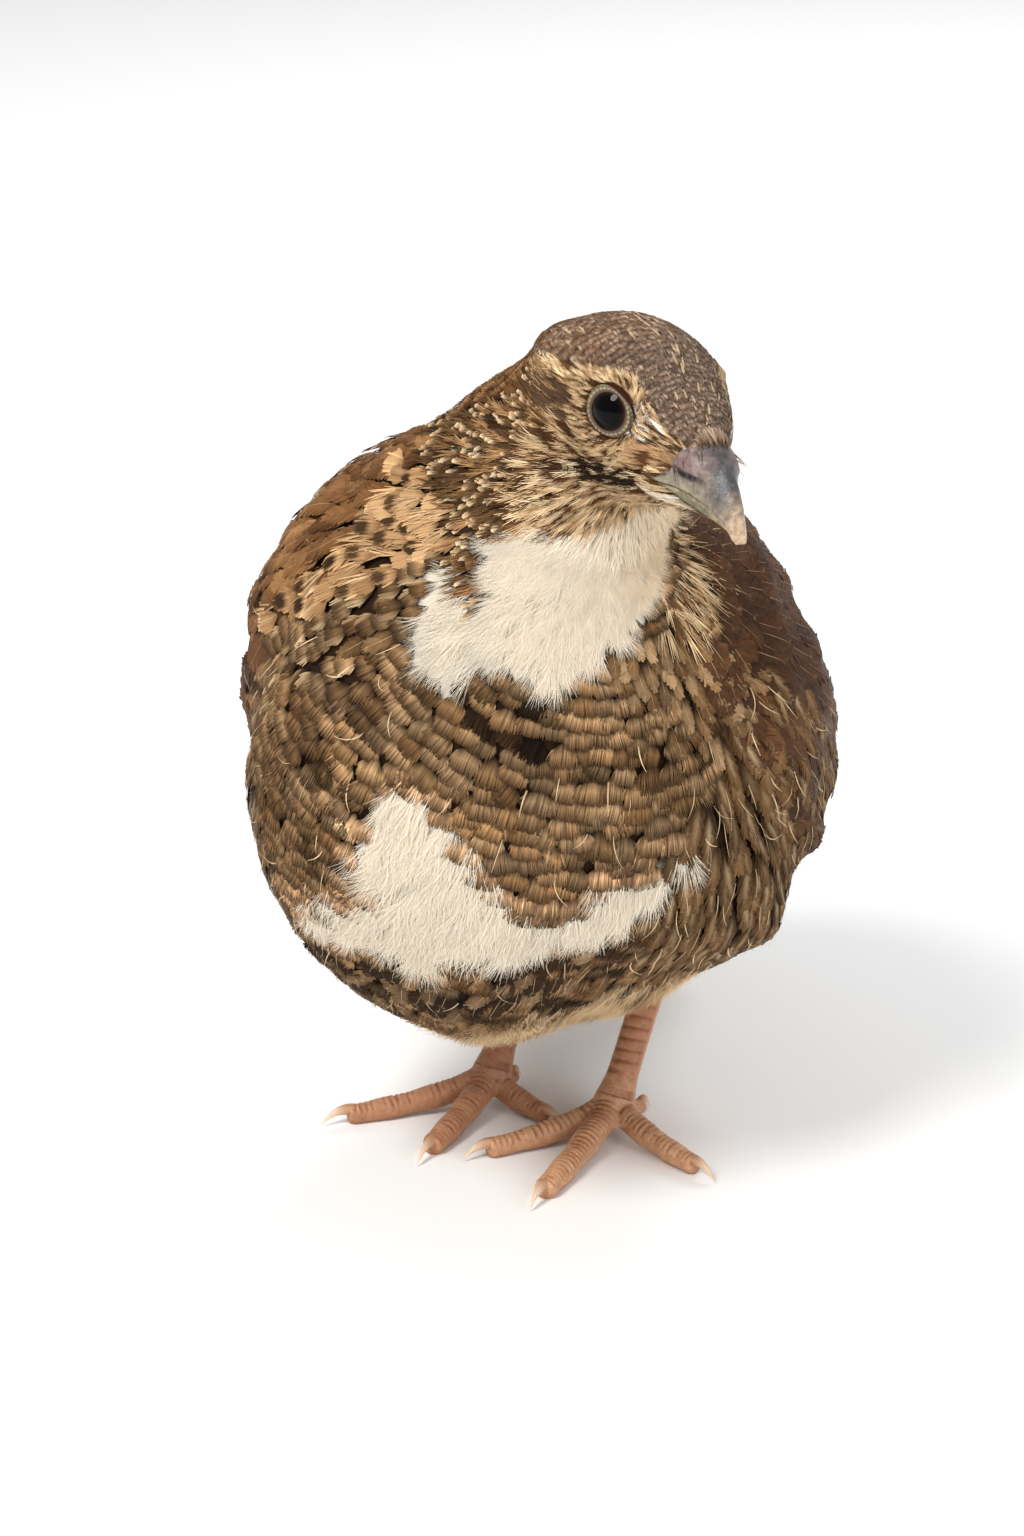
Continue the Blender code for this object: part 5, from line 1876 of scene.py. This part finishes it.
def make_upper_bill(material):
    """The hooked upper half, with the hood over each nostril and the slit under it."""
    first, last = BILL_STATIONS[0][0], BILL_STATIONS[-1][0]
    count, sides = UPPER_BILL_GRID
    rings, tints = [], []
    for i in range(count):
        x = first + (last - first) * (i / (count - 1)) ** 0.85
        width, ridge, mouth, _ = smooth_row(x, min(1.1, (last - x) * 0.6))
        ring = []
        for k in range(sides):
            a = 2 * math.pi * k / sides
            top = math.sin(a) > 0
            across = math.copysign(abs(math.cos(a)) ** 1.25, math.cos(a)) if top else math.cos(a)
            z = mouth + (ridge - mouth) * max(0, math.sin(a)) ** 1.25 + 0.12
            shares = (*nostril_at(x, z), bump_at(z, mouth + 0.5, 0.3))
            hood, slit, rim = (share * top for share in shares)
            y = width * across
            y += math.copysign(1.0 * hood - 1.0 * slit + 0.08 * rim, y) * (abs(y) > 0.3)
            ring.append(np.array(head_point(x, y, z)))
            tints.append(upper_bill_colour(x, z, ridge, hood, slit, rim))
        rings.append(ring)
    _, ridge, mouth, _ = bill_row(last)
    start, end = head_point(first, 0, -1.5), head_point(last + 0.15, 0, (ridge + mouth) / 2)
    mesh = ring_mesh("upper_bill", rings, np.array(start), np.array(end))
    return finished("upper_bill", mesh, tints + [COLOURS["culmen"], COLOURS["bill_tip"]], material)


def make_lower_bill(material):
    """The lower half, which closes under the edges of the upper one."""
    first = BILL_STATIONS[0][0]
    count, sides = LOWER_BILL_GRID
    rings, tints = [], []
    for i in range(count):
        share = i / (count - 1)
        x = first + (LOWER_BILL_END - first) * share**0.85
        width, _, mouth, lower = smooth_row(x, 0.8)
        taper = (1 - share**4 * 0.98) ** 0.5
        ring = []
        for k in range(sides):
            a = 2 * math.pi * k / sides
            drop = (mouth - lower) * max(0, math.sin(a)) ** 0.9
            across = (width * taper - 0.15) * math.cos(a)
            ring.append(np.array(head_point(x, across, mouth - drop - 0.05)))
            colour = mixed("lower_bill", "bill_tip", 0.7 * smooth_step(x, 18, 22.5))
            tints.append(mixed(colour, "tomium", 0.5 * float(math.sin(a) < 0.2)))
        rings.append(ring)
    start, end = head_point(first, 0, -6.6), head_point(LOWER_BILL_END + 0.1, 0, -6.6)
    mesh = ring_mesh("lower_bill", rings, np.array(start), np.array(end))
    return finished("lower_bill", mesh, tints + [COLOURS["lower_bill"], COLOURS["bill_tip"]], material)


# Legs, toes and claws


def toe_line(side, toe, s):
    """The middle of a toe with its claw, in mm, from the ball of the foot to the claw tip."""
    ball, tip = np.array(FEET[side]["ball"]) + FOOT_SHIFT, np.array(FEET[side][toe]) + FOOT_SHIFT
    rise = (1 - s) ** TOE_DROP
    height = BALL_HEIGHT * rise + TOE_HEIGHT * (1 - rise)
    return np.array((*(ball + (tip - ball) * s), height))


def toe_share(side, toe, length):
    """How far along its line a toe ends where its claw begins."""
    whole = np.linalg.norm(toe_line(side, toe, 1) - toe_line(side, toe, 0))
    return 1 - length / whole


def tube(name, centres, radii, up):
    """A closed round limb along a middle line, in mm."""
    turns = np.linspace(0, 2 * math.pi, LIMB_SIDES, endpoint=False)
    rings = []
    for centre, radius, along in zip(centres, radii, unit(np.gradient(centres, axis=0))):
        across = unit(np.cross(up, along))
        over = np.cross(along, across)
        rings.append([centre + radius * (across * math.sin(a) + over * math.cos(a)) for a in turns])
    return ring_mesh(name, np.array(rings) * MM, centres[0] * MM, centres[-1] * MM)


def leg_limbs(side):
    """A leg's limbs: middle line in mm, radii, the way the scutes face, and how far apart they are."""
    ball = np.array((*(np.array(FEET[side]["ball"]) + FOOT_SHIFT), BALL_HEIGHT - 0.6))
    shares = np.linspace(0, 1, LIMB_STEPS)
    centres = [ball + np.array(LEG_LEAN) * TARSUS_LENGTH * s for s in shares]
    swell = 1 + 0.4 * np.exp(-((shares / 0.12) ** 2)) + 0.25 * np.exp(-(((shares - 1) / 0.2) ** 2))
    front = unit(np.array((0.1, -0.9, 0.43)))
    limbs = {"tarsus": (np.array(centres), TARSUS_RADIUS * swell, front, TARSUS_SCUTES)}
    for toe in CLAW_LENGTH:
        reach = toe_share(side, toe, CLAW_LENGTH[toe] * 0.86)
        centres = [toe_line(side, toe, s * reach) for s in shares]
        pads = 2 if toe in ("toe_inner", "toe_hind") else 3
        pad = 0.5 + 0.5 * np.cos(2 * math.pi * pads * (shares - 0.06))
        radii = TOE_RADIUS[toe] * (1.10 - 0.28 * shares + 0.09 * pad) * np.where(shares > 0.97, 0.8, 1)
        limbs[toe] = (np.array(centres), radii, np.array((0, 0, 1.0)), TOE_SCUTES)
    return limbs


def make_leg(side, material):
    """A leg with its toes as one skin, with scutes along the front and over the toes."""
    limbs = leg_limbs(side)
    bm = bmesh.new()
    for name, (centres, radii, up, _) in limbs.items():
        mesh = tube(name, centres, radii, up)
        bm.from_mesh(mesh)
        bpy.data.meshes.remove(mesh)
    for first, second in (("toe_inner", "toe_middle"), ("toe_middle", "toe_outer")):
        web_between(bm, limbs[first], limbs[second])
    mesh = bpy.data.meshes.new("leg")
    bm.to_mesh(mesh)
    bm.free()
    obj = link_mesh("leg_skin_" + side, mesh)
    remeshed(obj, LEG_VOXEL, LEG_SMOOTHING)
    finish_leg(obj.data, limbs, 0.5 if side == "right" else 0.0)
    obj.data.shade_smooth()
    obj.data.materials.append(material)
    return obj


def web_between(bm, first, second):
    """The small web between the roots of two toes, as a thin plate that curves in."""
    rows = []
    for k in range(WEB_STEPS):
        q = k / (WEB_STEPS - 1)
        step = round(WEB_REACH - WEB_CURVE * math.sin(math.pi * q))
        root = first[0][0] + (second[0][0] - first[0][0]) * q
        edge = first[0][step] + (second[0][step] - first[0][step]) * q
        row = []
        for place, rise in ((root, 0.5), (edge, 0.25), (edge, -0.25), (root, -0.3)):
            row.append(bm.verts.new(Vector((place + np.array((0, 0, rise))) * MM)))
        rows.append(row)
    for near, far in zip(rows, rows[1:]):
        for i in range(4):
            j = (i + 1) % 4
            bm.faces.new((near[i], near[j], far[j], far[i]))
    bm.faces.new(rows[0][::-1])
    bm.faces.new(rows[-1])


def nearest_limb(points, limbs):
    """Each point's way along its limb, its turn to the scutes and to the side, and their spacing."""
    nearest = np.full(len(points), np.inf)
    found = np.zeros((4, len(points)))
    for centres, radii, up, spacing in limbs.values():
        lengths = np.concatenate([[0], np.cumsum(np.linalg.norm(np.diff(centres, axis=0), axis=1))])
        for k, (a, b) in enumerate(zip(centres, centres[1:])):
            run = b - a
            share = np.clip(((points - a) @ run) / (run @ run), 0, 1)
            away = points - (a + share[:, None] * run)
            gap = np.linalg.norm(away, axis=1) - radii[k]
            closer = gap < nearest
            nearest[closer] = gap[closer]
            out = unit(away)
            along = lengths[k] + share * (lengths[k + 1] - lengths[k])
            values = (along, out @ up, out @ unit(np.cross(up, run)), np.full(len(points), spacing))
            found[:, closer] = np.array(values)[:, closer]
    return found


def finish_leg(mesh, limbs, painted_shade):
    """Raises the scutes and colours them."""
    points = numbers_of(mesh.vertices, "co", 3).astype(float) / MM
    normals = numbers_of(mesh.vertices, "normal", 3)
    along, facing, across, spacing = nearest_limb(points, limbs)
    phase = (along / spacing + 0.12 * across) % 1
    groove = np.exp(-((np.minimum(phase, 1 - phase) / 0.11) ** 2))
    front = smooth_step(facing, 0.15, 0.6)
    swell = (0.11 * np.sin(math.pi * phase) - 0.12 * groove) * front * np.sqrt(spacing)
    grain = np.sin(points @ np.array((9.1, 3.3, 5.2))) * np.sin(points @ np.array((-4.2, 8.4, 3.7)))
    grain *= np.sin(points @ np.array((3.1, -5.6, 8.8)))
    swell += 0.06 * grain * (1 - front)
    points += normals * swell[:, None]
    points[:, 2] = np.maximum(points[:, 2], 0.02)
    mesh.vertices.foreach_set("co", (points * MM).astype(np.float32).ravel())
    mesh.update()
    high = smooth_step(points[:, 2], 2.5, 12)
    colour = mixed("leg", "leg_pale", 0.5 + 0.5 * grain * 0.6)
    colour = mixed(colour, "leg_dark", 0.45 * high * front)
    colour = mixed(colour, "leg_dark", 0.75 * groove * front)
    # A painted highlight along the middle of each scute on the front, fading up the leg.
    colour = mixed(colour, "leg_pale", 0.5 * np.sin(math.pi * phase) ** 4 * front * (1 - high))
    colour = mixed(colour, "leg_dark", 0.35 * smooth_step(points[:, 2], 1.2, 0.0))
    # The bird's right foot is darker all over, as painted shade.
    colour = mixed(colour, "leg_dark", painted_shade * (0.75 + 0.25 * grain))
    set_tint(mesh, colour)


def make_claw(side, toe, material):
    """A curved claw, deeper than wide, down to the floor at its tip."""
    share = toe_share(side, toe, CLAW_LENGTH[toe] * 1.08)
    root, tip = toe_line(side, toe, share), toe_line(side, toe, 1)
    along = tip - root
    across = np.cross((0, 0, 1), unit(along * np.array((1, 1, 0))))
    turns = np.linspace(0, 2 * math.pi, CLAW_SIDES, endpoint=False)
    rings, tints = [], []
    for s in np.linspace(0, 1, CLAW_RINGS):
        size = (CLAW_DEPTH * (1 - s) ** 0.75 + 0.07) * (0.8 if toe == "toe_hind" else 1.0)
        centre = root + along * s
        centre[2] = 1.85 + 0.75 * math.sin(math.pi * s * 0.75) - 2.1 * s**2.1 + 0.12
        ring = []
        colour = mixed("claw", "claw_pale", smooth_step(s, 0.2, 0.8))
        for a in turns:
            sideways = across * size * CLAW_NARROWNESS * math.sin(a)
            ring.append((centre + sideways + np.array((0, 0, size * math.cos(a)))) * MM)
            tints.append(mixed(colour, "leg_dark", 0.35 * smooth_step(math.cos(a), 0.2, 1.0) * (1 - s)))
        rings.append(ring)
    name = "claw_" + toe[4:] + "_of_" + side
    mesh = ring_mesh(name, rings, root * MM, np.array((tip[0], tip[1], 0.14)) * MM)
    return finished(name, mesh, tints + [COLOURS["claw"], COLOURS["claw_pale"]], material)


# Materials

# The colour's mottling: its scale, its detail, and the part of the noise that it is spread over
MOTTLE_SCALE = 1100
MOTTLE_DETAIL = 5
MOTTLE_RANGE = (0.3, 0.7)
GRAIN_DETAIL = 4
GRAIN_DEPTH = 0.2 * MM


def noise_over(tree, scale, detail):
    """A noise that is fixed to the piece."""
    noise, place = tree.nodes.new("ShaderNodeTexNoise"), tree.nodes.new("ShaderNodeTexCoord")
    noise.inputs["Scale"].default_value = scale
    noise.inputs["Detail"].default_value = detail
    tree.links.new(place.outputs["Object"], noise.inputs["Vector"])
    return noise.outputs["Fac"]


def tinted_material(name, roughness, specular, soft=0.0, bump=0.0, grain=900, mottle=0.0):
    """A surface coloured by its tint, with light passing a little way in where soft, and a fine grain."""
    material = bpy.data.materials.new(name)
    material.use_nodes = True
    tree = material.node_tree
    nodes, links = tree.nodes, tree.links
    shader = nodes["Principled BSDF"]
    tint = nodes.new("ShaderNodeAttribute")
    tint.attribute_name = "tint"
    colour = tint.outputs["Color"]
    shader.inputs["Roughness"].default_value = roughness
    shader.inputs["Specular IOR Level"].default_value = specular
    if mottle:
        spread = nodes.new("ShaderNodeMapRange")
        bounds = (*MOTTLE_RANGE, 1 - mottle, 1 + mottle)
        for end, value in zip(("From Min", "From Max", "To Min", "To Max"), bounds):
            spread.inputs[end].default_value = value
        shade = nodes.new("ShaderNodeVectorMath")
        shade.operation = "SCALE"
        links.new(noise_over(tree, MOTTLE_SCALE, MOTTLE_DETAIL), spread.inputs["Value"])
        links.new(colour, shade.inputs[0])
        links.new(spread.outputs["Result"], shade.inputs["Scale"])
        colour = shade.outputs["Vector"]
    links.new(colour, shader.inputs["Base Color"])
    if soft:
        shader.inputs["Subsurface Weight"].default_value = soft
        shader.inputs["Subsurface Radius"].default_value = (1.0, 0.4, 0.25)
        shader.inputs["Subsurface Scale"].default_value = MM
    if bump:
        relief = nodes.new("ShaderNodeBump")
        relief.inputs["Strength"].default_value = bump
        relief.inputs["Distance"].default_value = GRAIN_DEPTH
        links.new(noise_over(tree, grain, GRAIN_DETAIL), relief.inputs["Height"])
        links.new(relief.outputs["Normal"], shader.inputs["Normal"])
    return material


def place_piece(obj, slot, *replaced):
    """Fixes a piece to the body and hides the solids that it stands for; its slot is not used."""
    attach(obj, "root")
    if replaced:
        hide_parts(*replaced)


def paint_skin(skin):
    """The skin under the feathers, in the colours of what covers it, darker: painted shade where it shows
    between the feathers.
    """
    tints = []
    down, face = COLOURS["white"] * 0.8, COLOURS["cheek_dark"]
    for place, normal, way in zip(skin.places, skin.ups, skin.way):
        # Nearly black: painted shade where the skin shows between the feathers.
        colour = mixed("gap", "breast_dark", 0.6)
        if way < 34:
            share = smooth_step(way, 34, 24) * smooth_step(in_head(place).z, -14, -8)
            colour = mixed(colour, face, 0.9 * share)
        if normal.dot(PHOTO_BACK) > SEEN_FROM:
            pixel = in_photo(place)
            white = max(depth_inside(pixel, BIB), depth_inside(pixel, BELLY_PATCH))
            colour = mixed(colour, down, smooth_step(white, -4, 4))
        tints.append(colour)
    set_tint(skin.obj.data, tints)


def main():
    """Builds everything."""
    bpy.context.scene.view_settings.view_transform = "Standard"
    make_camera()
    make_studio()
    plumage = tinted_material("plumage", 0.7, specular=0.06)
    wing_vanes = tinted_material("wing_vanes", 0.55, specular=0.12)
    horn = tinted_material("horn", 0.38, specular=0.45, soft=0.1, bump=0.4, grain=2500, mottle=0.5)
    eye = tinted_material("eye", 0.02, specular=0.1)
    lid = tinted_material("lid", 0.55, specular=0.4, soft=0.15, bump=0.3, grain=3000)
    scutes = tinted_material("scutes", 0.5, specular=0.35, soft=0.1, bump=0.35, grain=2200, mottle=0.15)
    claw = tinted_material("claw", 0.3, specular=0.5, soft=0.25)

    skin = make_skin()
    skin.obj.data.shade_smooth()
    ground = Ground()
    paint_skin(skin)
    skin.obj.data.materials.append(plumage)
    place_piece(skin.obj, "plumage", "torso", "neck", "head", "wing_left", "wing_right", "tail")
    coats = grow_body(skin, ground, RANDOM)
    grow_eye_rings(skin, ground, coats, RANDOM)
    grow_bill_base(coats, RANDOM)
    grow_chin(coats, RANDOM)
    grow_bristles(coats, RANDOM)
    make_coat("plumage", list(coats.values()), plumage, RANDOM)
    wings = [grow_wing(skin, side, RANDOM) for side in (1, -1)]
    make_coat("wings", [c for w in wings for c in w.values()], wing_vanes, RANDOM)
    make_coat("tail_vanes", list(grow_tail(RANDOM).values()), wing_vanes, RANDOM)

    for side, name in ((1, "eye_left"), (-1, "eye_right")):
        place_piece(make_eye(side, name + "_ball", eye), "eye", name)
        place_piece(make_lids(side, name + "_lids", lid), "plumage")
    place_piece(make_upper_bill(horn), "bill", "bill_upper")
    place_piece(make_lower_bill(horn), "bill", "bill_lower")
    for side in ("left", "right"):
        toes = ["toe_" + toe + "_" + side for toe in ("inner", "middle", "outer", "hind")]
        place_piece(make_leg(side, scutes), "leg", "tarsus_" + side, *toes)
        for toe in CLAW_LENGTH:
            place_piece(make_claw(side, toe, claw), "claw", "claw_" + toe[4:] + "_" + side)


main()
